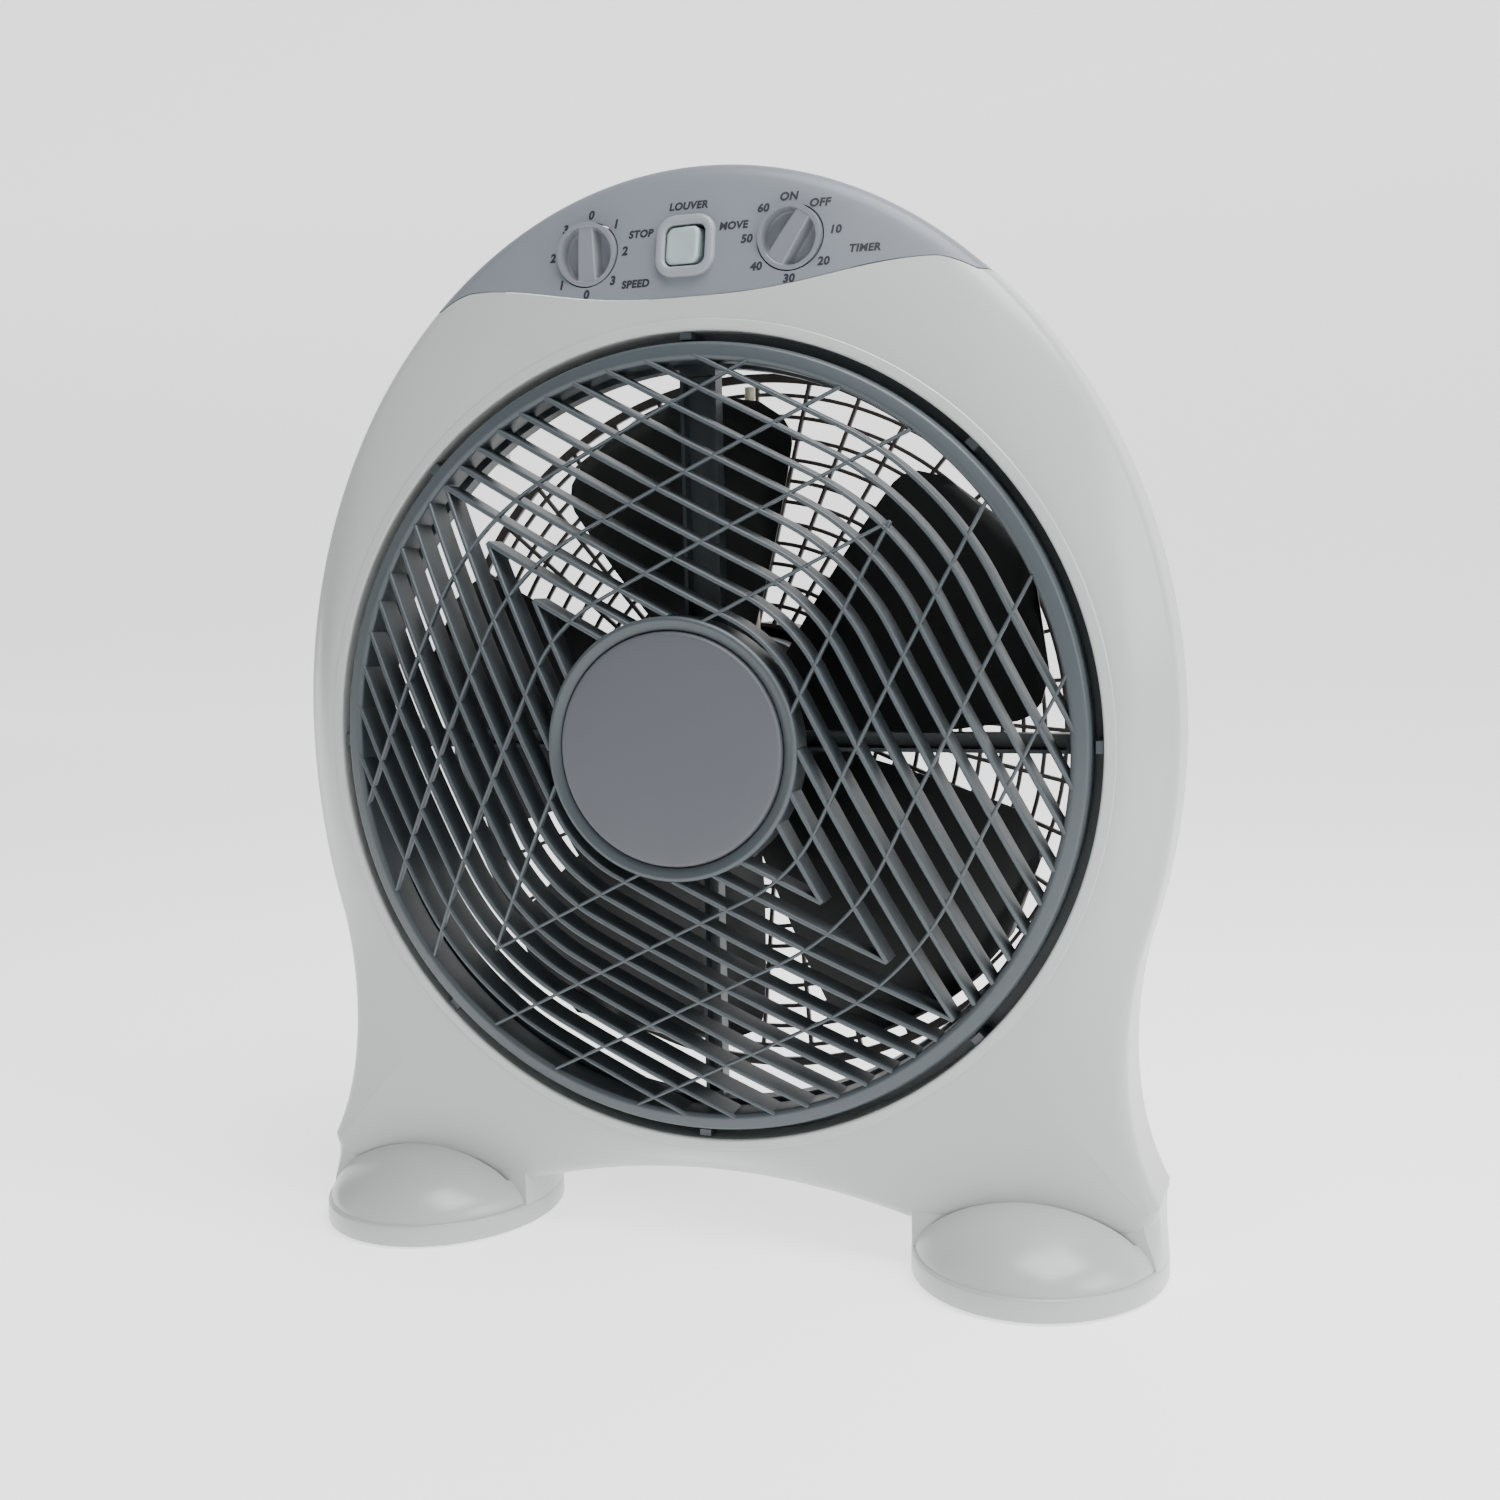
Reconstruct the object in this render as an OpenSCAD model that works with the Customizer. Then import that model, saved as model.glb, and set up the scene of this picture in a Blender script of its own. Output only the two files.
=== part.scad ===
// Twelve inch box fan with a rotating front louver, a three speed rotary switch, a wind-up
// timer and a louver rocker. Z is up, the air leaves towards -Y, and the origin is on the
// floor at the middle of the bounding box. Depths named d run backwards from the rim of
// the front opening.

/* [Air path] */
// Radius swept by the blade tips
blade_r = 150; // [120:1:180]
// Space between the blade tips and the duct
tip_gap = 6; // [4:0.5:12]
// How far the louver ring reaches past the duct
louver_over = 9.2; // [6:0.2:14]
// Width of the dark groove round the louver
groove_gap = 4.4; // [3:0.1:8]

/* [Shell] */
// Wall of the moulded shells
wall = 2.5; // [2:0.1:3.5]
// Shell beside the opening, at its widest
side_margin = 27.4; // [23:0.2:40]
// Shell and control panel above the opening
top_margin = 69.8; // [62:0.2:84]
// Shell below the opening
bottom_margin = 18; // [16:0.5:30]
// Height of the arch between the feet
arch_z = 33; // [28:0.5:48]
// Depth of the front shell, rim to parting line
front_depth = 50; // [44:1:60]
// Depth of the rear shell behind the parting line
rear_depth = 38.5; // [34:0.5:50]
// How far the front face falls back from the rim
face_fall = 13; // [10:0.5:15]
// Depth of the tubular wall inside the opening
lip_depth = 15; // [13:0.5:15]
// Radius of the screw bosses
boss_r = 5; // [4.5:0.1:6]

/* [Louver] */
// Thickness of a louver vane
vane_t = 2; // [1.6:0.1:2.6]
// Spacing of the louver vanes
vane_pitch = 10.7; // [9:0.1:13]
// Depth of a louver vane, front to back
vane_depth = 13; // [10:0.5:13]
// Slope of the straight part of a vane
vane_slope = 27; // [20:1:35]
// Spacing of the thin front ribs
rib_pitch = 18; // [15:0.5:30]
// Thickness of the thin front ribs
rib_t = 1.8; // [1.4:0.1:2.4]
// Face width of the louver ring
ring_w = 7.9; // [6:0.1:10]
// Radius of the ring round the hub cap
hub_ring_r = 54; // [50:0.5:60]
// Radius of the hub cap
cap_r = 48; // [44:0.5:49]
// How far the hub stands proud of the louver ring
dome_rise = 23; // [18:0.5:26]

/* [Impeller and motor] */
// Number of blades
blades = 5; // [3:1:7]
// Blade thickness
blade_t = 2.4; // [2:0.1:3]
// Front to back reach of a blade
blade_reach = 32; // [24:1:34]
// Radius of the impeller hub
impeller_hub_r = 38; // [36:0.5:44]
// Diameter of the motor shaft
shaft_d = 8; // [6:0.5:9]
// Radius of the motor housing
motor_r = 42; // [40:0.5:44]
// Thickness of the stator lamination stack
stack_t = 16; // [12:0.5:18]
// Air gap between rotor and stator
air_gap = 0.5; // [0.4:0.05:0.8]
// Radial clearance of a running shaft
run_fit = 0.03; // [0.02:0.01:0.06]

/* [Rear grille] */
// Spacing of the concentric rear rings
guard_pitch = 9.5; // [8:0.5:11.5]
// Width of a rear rib
guard_w = 1.8; // [1.5:0.1:2.5]
// Number of slanted rear ribs
guard_ribs = 40; // [24:1:48]

/* [Controls] */
// Distance from the centre line to each knob
knob_x = 44.5; // [40:0.5:50]
// Radius of a knob
knob_r = 13.3; // [11:0.1:15]
// How far a knob stands proud of the panel
knob_h = 3.5; // [2:0.5:6]
// Side of the rocker frame
bezel_s = 25.6; // [23:0.1:28]
// Side of the rocker button
button_s = 15.6; // [13:0.1:16]
// Gap round the rocker button
button_gap = 0.8; // [0.7:0.05:1]
// Tilt of the rocker button to each side, in degrees
rocker_tilt = 6; // [4:0.5:8]
// Depth of the carrying grip in the back
grip_depth = 24; // [18:0.5:28]

/* [Feet] */
// Half length of a foot, front to back
foot_ry = 59.4; // [50:0.2:66]
// Half width of a foot
foot_rx = 53; // [46:0.2:56]
// Height of a foot's upright wall
foot_wall_h = 9.5; // [7:0.5:12]
// Height of a foot's dome above its wall
foot_dome_h = 26; // [20:0.5:30]
// How far a rubber pad stands below the foot
pad_drop = 1; // [0.5:0.1:2]

/* [Fits] */
// Clearance between fixed pieces that slip together
slip = 0.2; // [0.1:0.05:0.4]
// Clearance round a screw in its hole
screw_clear = 0.1; // [0.05:0.05:0.3]
// Radius of a case screw
screw_r = 1.5; // [1.3:0.1:2]

/* [Hidden] */
$fn = 96;
e = 0.01;

// Radii of the air path
duct_r = blade_r + tip_gap;
louver_r = duct_r + louver_over;
open_r = louver_r + groove_gap;
duct_t = 2;

// Outline of the body
ring_z = arch_z + bottom_margin + open_r;
head_a = open_r + side_margin;
head_dz = 4.4;
head_b = open_r + top_margin - head_dz;
head_end = 111;
waist_pull = 20;
waist_in = 27;
waist_z = 72;
leg_in = 7;
leg_z = 21;
leg_corner = 14;
arch_k = 0.0016;
arch_x = sqrt((arch_z - leg_z) / arch_k);
leg_x = head_a - leg_in;
head_steps = 30;
flank_steps = 10;
corner_steps = 5;
flat_steps = 6;
arch_steps = 10;

// Depths, from the rim backwards
parting_d = front_depth;
back_d = front_depth + rear_depth;
rim_bevel = 5;
rim_ease = 1.5;
face_curve = 1.5;
low_flat = 0.5;
edge_inset = 6;
edge_drop = 7;
spider_d = lip_depth;
spider_t = 8;
hub_d0 = 36;
hub_d1 = 68;
motor_d0 = 62;
nose_len = 12;
bell_t = 2.5;
bell_r0 = 30;
front_bell_len = 22;
rear_bell_len = 8.5;
stack_d0 = motor_d0 + front_bell_len;
stack_d1 = stack_d0 + stack_t;
motor_d1 = stack_d1 + rear_bell_len;
plate_t = 2.5;
cover_t = 3.5;
rear_d = motor_d1 + plate_t + cover_t;
foot_d = 25.3;
foot_front_d = foot_d - foot_ry;
// The origin is midway between the front of the feet and the back of the motor cover
rim_y = -(foot_front_d + rear_d) / 2;

// Feet
foot_x = head_a - 57.8;
pad_r = 9;
pad_t = 3;
foot_base_z = pad_drop;
pad_dy = 36;
pad_rim = 1.5;

// Louver
louver_front = -4;
ring_inner_r = louver_r - ring_w;
dome_k = dome_rise / (pow(ring_inner_r, 2) - pow(hub_ring_r, 2));
hub_front = louver_front - dome_rise;
rib_depth = 3;
hub_ring_w = hub_ring_r - cap_r - slip;
cap_t = 3;
disc_d = hub_front + 9;
disc_t = 3;
sync_r = 25;
sync_d0 = 3.5;
sync_len = 16;
sync_shaft_r = 3.5;
cup_t = 2.5;
cup_r = sync_r + 6;
cup_d1 = spider_d + spider_t + 0.5;

// Motor
shaft_r = shaft_d / 2;
bearing_r = shaft_r + 4;
bearing_len = 10;
rotor_r = 21;
stator_in_r = rotor_r + air_gap;
winding_r0 = 24;
winding_r1 = 36;
nut_r = 15;
nut_len = 7;
hub_boss_r = 9;
cup_wall_r = motor_r + 4;

// Controls
panel_z = ring_z + 204.6;
panel_d = face_fall + 0.3;
knob_shaft_r = 3;
knob_gap = 0.6;
knob_rim = 1.3;
switch_d = panel_d + 4.7;
knob_front = panel_d - knob_h;
knob_back = switch_d - knob_gap;
scoop_depth = 5.4;
well_r = knob_r + 0.5;
well_wall = 1.6;
grip_w = 84;
grip_h = 26;
grip_z = panel_z;

// Case screws stand on one circle round the opening
boss_ring = open_r + 14;
boss_angles = [45, 135, 0, 180, -45, -135];
shoulder_d = parting_d + 10;
screw_bite = 18;
head_r = 3;
screw_head_t = 2.4;

shell_c = [0.88, 0.90, 0.88];
panel_c = [0.58, 0.60, 0.64];
slate_c = [0.42, 0.45, 0.48];
dark_c = [0.10, 0.10, 0.12];
steel_c = [0.72, 0.73, 0.75];
copper_c = [0.72, 0.42, 0.22];
brass_c = [0.80, 0.66, 0.34];
rubber_c = [0.13, 0.13, 0.14];

// ---- outline -----------------------------------------------------------------------
function bez(a, b, c, d, t) =
    pow(1 - t, 3) * a + 3 * t * pow(1 - t, 2) * b + 3 * t * t * (1 - t) * c + t * t * t * d;

head_tip = [head_a * sin(head_end), ring_z + head_dz + head_b * cos(head_end)];
head_dir = [head_a * cos(head_end), -head_b * sin(head_end)] / norm([head_a * cos(head_end),
    head_b * sin(head_end)]);
leg_top = [leg_x, leg_z + leg_corner];

// Right half of the body's outline, from the top of the head to the middle of the arch
half_outline = concat(
    [for (i = [0:head_steps]) let (t = head_end * i / head_steps)
        [head_a * sin(t), ring_z + head_dz + head_b * cos(t)]],
    [for (i = [1:flank_steps]) bez(head_tip, head_tip + waist_pull * head_dir,
        [head_a - waist_in, waist_z], leg_top, i / flank_steps)],
    [for (i = [1:corner_steps]) let (t = 90 * i / corner_steps)
        leg_top + leg_corner * [cos(t) - 1, -sin(t)]],
    [for (i = [1:flat_steps]) let (x0 = leg_x - leg_corner)
        [x0 + (arch_x - x0) * i / flat_steps, leg_z]],
    [for (i = [1:arch_steps]) let (x = arch_x * (1 - i / arch_steps)) [x, arch_z - arch_k * x * x]]
);
half_n = len(half_outline);
outline = concat(half_outline, [for (i = [half_n - 2:-1:1]) [-half_outline[i][0], half_outline[i][1]]]);
outline_n = len(outline);

function unit(v) = v / norm(v);
function inward(i) =
    let (a = outline[(i + outline_n - 1) % outline_n], b = outline[(i + 1) % outline_n], t = unit(b - a))
    [t[1], -t[0]];
centre = [0, ring_z];

// Rings of the lofted shells: one point of each ring for every outline point
function inset_ring(s, d) = [for (i = [0:outline_n - 1])
    let (p = outline[i] + s * inward(i)) [p[0], rim_y + d, p[1]]];
function circle_ring(r, d) = [for (p = outline)
    let (q = centre + r * unit(p - centre)) [q[0], rim_y + d, q[1]]];
// The front face falls back from the rim to a crease near the outline, and less so at the legs
function crease_d(z) = face_fall * (1 - low_flat * min(max((ring_z - z) / (ring_z - leg_z), 0), 1));
function skin_d(z, f) = rim_ease + (crease_d(z) - rim_ease) * pow(f, face_curve);
function crease_point(i) = outline[i] + edge_inset * inward(i);
function face_ring(f, back) = [for (i = [0:outline_n - 1])
    let (c = centre + (open_r + rim_bevel) * unit(outline[i] - centre), p = c + f * (crease_point(i) - c))
    [p[0], rim_y + skin_d(p[1], f) + back, p[1]]];
function edge_ring(s, back) = [for (i = [0:outline_n - 1])
    let (p = outline[i] + s * inward(i)) [p[0], rim_y + crease_d(p[1]) + back, p[1]]];
// Depth of the front face at angle a and radius r
function off_angle(p, a) = abs((atan2(p[1] - ring_z, p[0]) - a + 540) % 360 - 180);
function nearest(a) = let (o = [for (p = outline) off_angle(p, a)]) search(min(o), o)[0];
function face_at(a, r) =
    let (edge = norm(crease_point(nearest(a)) - centre), r0 = open_r + rim_bevel)
    skin_d(ring_z + r * sin(a), min((r - r0) / (edge - r0), 1));

// A closed solid through a closed loop of rings
module loft(rings) {
    n = len(rings[0]);
    m = len(rings);
    polyhedron(
        points = [for (r = rings) each r],
        faces = [for (j = [0:m - 1]) for (i = [0:n - 1])
            let (a = j * n + i, b = j * n + (i + 1) % n, c = ((j + 1) % m) * n + (i + 1) % n,
                d = ((j + 1) % m) * n + i)
            each [[a, c, b], [a, d, c]]]
    );
}

// ---- shapes placed by depth ----------------------------------------------------------
module at_depth(d, x = 0, z = ring_z) { translate([x, rim_y + d, z]) rotate([90, 0, 0]) children(); }
module rod(r, d0, d1, x = 0, z = ring_z) { at_depth(d1, x, z) cylinder(r = r, h = d1 - d0); }
module tube(ro, ri, d0, d1, x = 0, z = ring_z) {
    difference() {
        rod(ro, d0, d1, x, z);
        rod(ri, d0 - 1, d1 + 1, x, z);
    }
}
module block(w, h, d0, d1, x = 0, z = ring_z) {
    at_depth(d1, x, z) translate([-w / 2, -h / 2, 0]) cube([w, h, d1 - d0]);
}
// A solid of revolution about the fan's axis, from [radius, depth] points
module turned(points) { at_depth(0) rotate_extrude() polygon([for (p = points) [p[0], -p[1]]]); }
module rounded_block(s, r, d0, d1, x, z) {
    at_depth(d1, x, z) linear_extrude(d1 - d0) rounded_square(s, r);
}
module rounded_square(s, r) {
    square([s, s - 2 * r], center = true);
    square([s - 2 * r, s], center = true);
    for (i = [-1, 1], j = [-1, 1]) translate([i, j] * (s / 2 - r)) circle(r);
}
module outline_prism(s, d0, d1) {
    at_depth(d1, 0, 0) linear_extrude(d1 - d0)
        polygon([for (i = [0:outline_n - 1]) outline[i] + s * inward(i)]);
}
function on_ring(a, r) = [r * cos(a), ring_z + r * sin(a)];

// ---- front shell and control panel ---------------------------------------------------
seam_low = ring_z + open_r + 13.8;
hump_x = 102;
hump_rise = 10;
seam_end_x = 119;
seam_end_rise = 4;
function seam_z(x) = let (u = min(abs(x) / hump_x, 1), v = max(abs(x) - hump_x, 0) / (seam_end_x - hump_x))
    seam_low + hump_rise * (1 - cos(180 * u)) / 2 - (hump_rise - seam_end_rise) * pow(min(v, 1), 1.6);
seam_step = 8.5;
seam_points = concat([for (x = [-seam_end_x:seam_step:seam_end_x + e]) [x, seam_z(x)]]);

module above_seam(shift) {
    at_depth(parting_d + 1, 0, 0) linear_extrude(parting_d + 10) polygon(concat(
        [[-head_a, seam_z(seam_end_x) + shift]],
        [for (p = seam_points) p + [0, shift]],
        [[head_a, seam_z(seam_end_x) + shift], [head_a, ring_z + head_b + 40],
            [-head_a, ring_z + head_b + 40]]));
}

skin_rings = [
    circle_ring(open_r, rim_ease),
    circle_ring(open_r + rim_ease, 0),
    circle_ring(open_r + rim_bevel, rim_ease),
    face_ring(0.35, 0),
    face_ring(0.7, 0),
    face_ring(1, 0),
    edge_ring(edge_inset / 2, edge_drop * 0.18),
    edge_ring(edge_inset * 0.15, edge_drop * 0.5),
    edge_ring(0, edge_drop),
    inset_ring(0, parting_d),
];

module front_body() {
    loft(concat(skin_rings, [
        inset_ring(wall, parting_d),
        edge_ring(wall, edge_drop + 1),
        edge_ring(wall + edge_inset / 2, edge_drop * 0.5),
        face_ring(0.96, wall),
        face_ring(0.5, wall),
        circle_ring(open_r + rim_bevel, rim_ease + wall),
        circle_ring(open_r + wall, lip_depth),
        circle_ring(open_r, lip_depth),
    ]));
}
// The front shell as if it were solid behind its skin
module front_mass() { loft(concat(skin_rings, [circle_ring(open_r, parting_d)])); }

// The ledge that runs back from the seam to the sunk face of the panel
module seam_ledge() {
    intersection() {
        front_mass();
        at_depth(panel_d + wall, 0, 0) linear_extrude(panel_d + wall)
            polygon(concat(seam_points, reversed([for (p = seam_points) p - [0, wall]])));
    }
}

module front_shell() {
    color(shell_c) {
        difference() {
            front_body();
            above_seam(0);
            foot_screw_holes();
        }
        seam_ledge();
        for (a = boss_angles) let (p = on_ring(a, boss_ring)) difference() {
            rod(boss_r, face_at(a, boss_ring + boss_r) + 0.7, parting_d, p[0], p[1]);
            rod(screw_r + screw_clear, parting_d - screw_bite - 1, parting_d + 1, p[0], p[1]);
        }
    }
}
module foot_screw_holes() {
    for (p = foot_screws) translate([p[0], p[1], leg_z - 1]) cylinder(r = screw_r + screw_clear, h = wall + 3);
}

module control_panel() {
    color(panel_c) difference() {
        intersection() {
            union() {
                intersection() {
                    front_body();
                    at_depth(parting_d + 1, 0, ring_z) translate([-head_a, 0, 0])
                        cube([2 * head_a, 2 * head_a, parting_d + 1 - panel_d]);
                }
                outline_prism(edge_inset - 0.3, panel_d, panel_d + wall);
                for (x = [-knob_x, knob_x]) rod(well_r + well_wall, panel_d, switch_d, x, panel_z);
            }
            above_seam(slip);
        }
        for (x = [-knob_x, knob_x]) rod(well_r, panel_d - 1, switch_d + 1, x, panel_z);
        block(button_s + 4.4, button_s + 4.4, panel_d - 1, panel_d + wall + 1, 0, panel_z);
    }
}

// ---- rear shell -----------------------------------------------------------------------
seat_in_r = duct_r;
seat_out_r = duct_r + 5;
seat_depth = 4;
grip_floor_d = back_d - grip_depth;
// The back wall stands a little proud round the duct
back_crown = 0.6;

module rear_body() {
    seat = back_d - seat_depth;
    loft([
        inset_ring(0, parting_d),
        inset_ring(1.5, back_d - 18),
        inset_ring(4, back_d - 6),
        inset_ring(8, back_d - 1.2 - back_crown),
        inset_ring(11, back_d - back_crown),
        circle_ring(seat_out_r, back_d),
        circle_ring(seat_out_r, seat),
        circle_ring(seat_in_r, seat),
        circle_ring(seat_in_r, spider_d + spider_t),
        circle_ring(seat_in_r + duct_t, spider_d + spider_t),
        circle_ring(seat_in_r + duct_t, seat - wall),
        circle_ring(seat_out_r + wall, seat - wall),
        circle_ring(seat_out_r + wall, back_d - wall),
        inset_ring(11.5, back_d - wall - back_crown),
        inset_ring(6.5, back_d - 6.5),
        inset_ring(1.5 + wall, back_d - 18),
        inset_ring(wall, parting_d),
    ]);
}

gland_x = head_a - 43;
gland_z = 62;
gland_r = 6;

module rear_shell() {
    color(shell_c) difference() {
        union() {
            rear_body();
            for (a = boss_angles) let (p = on_ring(a, boss_ring))
                rod(boss_r, parting_d, back_d - wall + 0.6, p[0], p[1]);
        }
        for (a = boss_angles) let (p = on_ring(a, boss_ring)) {
            rod(screw_r + screw_clear, parting_d - 1, back_d, p[0], p[1]);
            rod(head_r + 0.4, shoulder_d, back_d + 1, p[0], p[1]);
        }
        block(grip_w + 2 * slip, grip_h + 2 * slip, grip_floor_d, back_d + 1, 0, grip_z);
        rod(gland_r + slip, back_d - 10, back_d + 1, gland_x, gland_z);
        grille_screw_holes();
    }
}

// An open box let into the back of the rear shell, to lift the fan by
grip_wall = 2;
module grip_cup() {
    color(shell_c) difference() {
        union() {
            block(grip_w, grip_h, grip_floor_d, back_d, 0, grip_z);
            block(grip_w + 6, grip_h + 6, back_d, back_d + 1.2, 0, grip_z);
        }
        block(grip_w - 2 * grip_wall, grip_h - 2 * grip_wall, grip_floor_d + grip_wall, back_d + 2, 0, grip_z);
    }
}

module cord_gland() {
    color(rubber_c) difference() {
        union() {
            rod(gland_r, back_d - 6, back_d, gland_x, gland_z);
            rod(gland_r + 2.5, back_d, back_d + 2.5, gland_x, gland_z);
        }
        rod(3.6, back_d - 8, back_d + 4, gland_x, gland_z);
    }
}

// ---- feet -------------------------------------------------------------------------------
dome_steps = 8;
foot_wall = 3;
foot_cut_d = crease_d(leg_z) - 1;
foot_top_z = leg_z - slip;
foot_screw_dx = 20;
foot_screw_d = foot_d + 14;
foot_screw_head_z = 10;
leg_post_h = 12;
function dome_z(u) = foot_wall_h + foot_dome_h * pow(1 - u * u, 0.62);
foot_sides = [-1, 1];
foot_screws = [for (s = foot_sides, k = [-1, 1]) [s * foot_x + k * foot_screw_dx, rim_y + foot_screw_d]];
foot_pads_at = [for (s = foot_sides, k = [-1, 1]) [s * foot_x, rim_y + foot_d + k * pad_dy]];

// Rings of a foot: one ellipse at height z, u of the way out from the middle, s inside its face
foot_n = 40;
function foot_ring(side, u, z, s) = [for (i = [0:foot_n - 1]) let (a = 360 * i / foot_n)
    [side * foot_x + (foot_rx * u - s) * cos(a), rim_y + foot_d + (foot_ry * u - s) * sin(a), z]];
module foot_dome(side) {
    us = [for (i = [0:dome_steps]) sin(90 * (1 - 0.95 * i / dome_steps))];
    loft(concat(
        [foot_ring(side, 1, foot_base_z, 0)],
        [for (u = us) foot_ring(side, u, foot_base_z + dome_z(u), 0)],
        reversed([for (u = us) foot_ring(side, u, foot_base_z + dome_z(u) - foot_wall, u == 1 ? foot_wall : foot_wall * u)]),
        [foot_ring(side, 1, foot_base_z, foot_wall)]));
}
module foot_slab(side) {
    translate([0, 0, foot_top_z - foot_wall]) linear_extrude(foot_wall)
        polygon([for (p = foot_ring(side, 0.86, 0, 0)) [p[0], p[1]]]);
}

module foot(side) {
    at = [side * foot_x, rim_y + foot_d, foot_base_z];
    span = 2 * foot_ry;
    difference() {
        union() {
            difference() {
                foot_dome(side);
                translate([at[0] - foot_ry, rim_y + foot_cut_d, foot_top_z]) cube([span, span, span]);
            }
            intersection() {
                foot_slab(side);
                translate([at[0] - foot_ry, rim_y + foot_cut_d - 1, 0]) cube([span, span, span]);
            }
            for (p = foot_pads_at) if (p[0] * side > 0)
                translate([p[0], p[1], foot_base_z]) cylinder(r = pad_r + pad_rim, h = p[1] < rim_y + foot_d
                    ? dome_z((pad_dy + pad_r + pad_rim) / foot_ry) - 1 : foot_top_z - foot_base_z - 1);
            for (p = foot_screws) if (p[0] * side > 0)
                translate([p[0], p[1], foot_base_z]) cylinder(r = 6, h = foot_top_z - foot_base_z - 1);
        }
        for (p = foot_pads_at) translate([p[0], p[1], -1]) cylinder(r = pad_r, h = pad_t + 1);
        for (p = foot_screws) {
            translate([p[0], p[1], -1]) cylinder(r = screw_r + screw_clear, h = leg_z + 2);
            translate([p[0], p[1], -1]) cylinder(r = head_r + 0.6, h = foot_screw_head_z + 1);
        }
    }
}

module foot_left() { color(shell_c) foot(-1); }
module foot_right() { color(shell_c) foot(1); }
module foot_pads() {
    color(rubber_c) for (p = foot_pads_at) translate([p[0], p[1], 0]) cylinder(r = pad_r, h = pad_t);
}

// ---- screws -------------------------------------------------------------------------------
// A pan head screw whose head sits at depth d and whose shank runs forward
module screw_back(d, reach, p) {
    rod(head_r, d, d + screw_head_t, p[0], p[1]);
    rod(screw_r, d - reach, d + e, p[0], p[1]);
}
// The same with its head towards the front
module screw_front(d, reach, p) {
    rod(head_r, d - screw_head_t, d, p[0], p[1]);
    rod(screw_r, d - e, d + reach, p[0], p[1]);
}
module shell_screws() {
    color(steel_c) for (a = boss_angles) screw_back(shoulder_d, shoulder_d - parting_d + screw_bite,
        on_ring(a, boss_ring));
}
module foot_screws_set() {
    color(steel_c) for (p = foot_screws) {
        translate([p[0], p[1], foot_screw_head_z - screw_head_t]) cylinder(r = head_r, h = screw_head_t);
        translate([p[0], p[1], foot_screw_head_z - e]) cylinder(r = screw_r, h = leg_z + 8 - foot_screw_head_z);
    }
}

// ---- louver --------------------------------------------------------------------------------
n_hi = 90 - vane_slope;
n_lo = vane_slope;
arc_steps = 6;
function dome_d(r) = louver_front - dome_k * (pow(ring_inner_r, 2) - pow(min(max(r, hub_ring_r), ring_inner_r), 2));
function rim_reach(rho) = sqrt(max(pow(ring_inner_r + ring_w / 2, 2) - rho * rho, 0));
// Along a straight, how far it is to the mitre with the opposite family
mitre_k = (sin(n_hi) + cos(n_hi)) / (sin(n_hi) - cos(n_hi));

// One side of a vane: a straight, an arc about the hub and a straight, at radius rho
function vane_side(rho, s) = concat(
    [rho * [cos(n_hi), sin(n_hi)] + s * [-sin(n_hi), cos(n_hi)]],
    [for (i = [0:arc_steps]) let (a = n_hi + (n_lo - n_hi) * i / arc_steps) rho * [cos(a), sin(a)]],
    [rho * [cos(n_lo), sin(n_lo)] - s * [-sin(n_lo), cos(n_lo)]]
);
function reversed(v) = [for (i = [len(v) - 1:-1:0]) v[i]];
module vane(rho, t) {
    s = min(mitre_k * rho, rim_reach(rho));
    polygon(concat(vane_side(rho + t / 2, s), reversed(vane_side(rho - t / 2, s))));
}
module vane_family(pitch, t) {
    for (rho = [1.5 * pitch:pitch:ring_inner_r - 4]) vane(rho, t);
}
module vane_pattern(pitch, t) {
    vane_family(pitch, t);
    rotate(180) vane_family(pitch, t);
}
dome_rings = 8;
dome_radii = [for (i = [0:dome_rings])
    hub_ring_r - 1 + (ring_inner_r + 2 - hub_ring_r) * i / dome_rings];
// The space between the dome and a copy of it further back
module dome_slice(depth) {
    turned(concat([for (r = dome_radii) [r, dome_d(r)]],
        reversed([for (r = dome_radii) [r, dome_d(r) + depth]])));
}
module louver_grille() {
    color(slate_c) {
        intersection() {
            at_depth(vane_depth + 4) linear_extrude(vane_depth + 8 - hub_front)
                vane_pattern(vane_pitch, vane_t);
            dome_slice(vane_depth);
        }
        intersection() {
            at_depth(vane_depth + 4) linear_extrude(vane_depth + 8 - hub_front)
                mirror([1, 0]) vane_pattern(rib_pitch, rib_t);
            dome_slice(rib_depth);
        }
        turned([[ring_inner_r, louver_front + 1], [ring_inner_r + 2, louver_front], [louver_r - 1, louver_front + 2],
            [louver_r, louver_front + 4], [louver_r, louver_front + 15], [louver_r - 2, louver_front + 15],
            [louver_r - 2, louver_front + 6], [ring_inner_r + 2, louver_front + 6],
            [ring_inner_r + 2, louver_front + 15], [ring_inner_r, louver_front + 15]]);
        turned([[cap_r + slip, hub_front + 1], [hub_ring_r - 1, hub_front - 1], [hub_ring_r, hub_front],
            [hub_ring_r, hub_front + 14], [cap_r + slip, hub_front + 14]]);
        turned([[sync_shaft_r, disc_d], [cap_r + slip + 1, disc_d], [cap_r + slip + 1, disc_d + disc_t],
            [hub_boss_r, disc_d + disc_t], [hub_boss_r, sync_d0 - 2], [sync_shaft_r, sync_d0 - 2]]);
    }
}
module louver_cap() {
    color([0.47, 0.48, 0.51]) turned([[0, hub_front - 2.2], [cap_r * 0.6, hub_front - 1.7],
        [cap_r - 1.5, hub_front - 0.6], [cap_r, hub_front + 0.6], [cap_r, disc_d], [cap_r - 2, disc_d],
        [cap_r - 2, hub_front + cap_t], [0, hub_front + cap_t]]);
}
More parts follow.
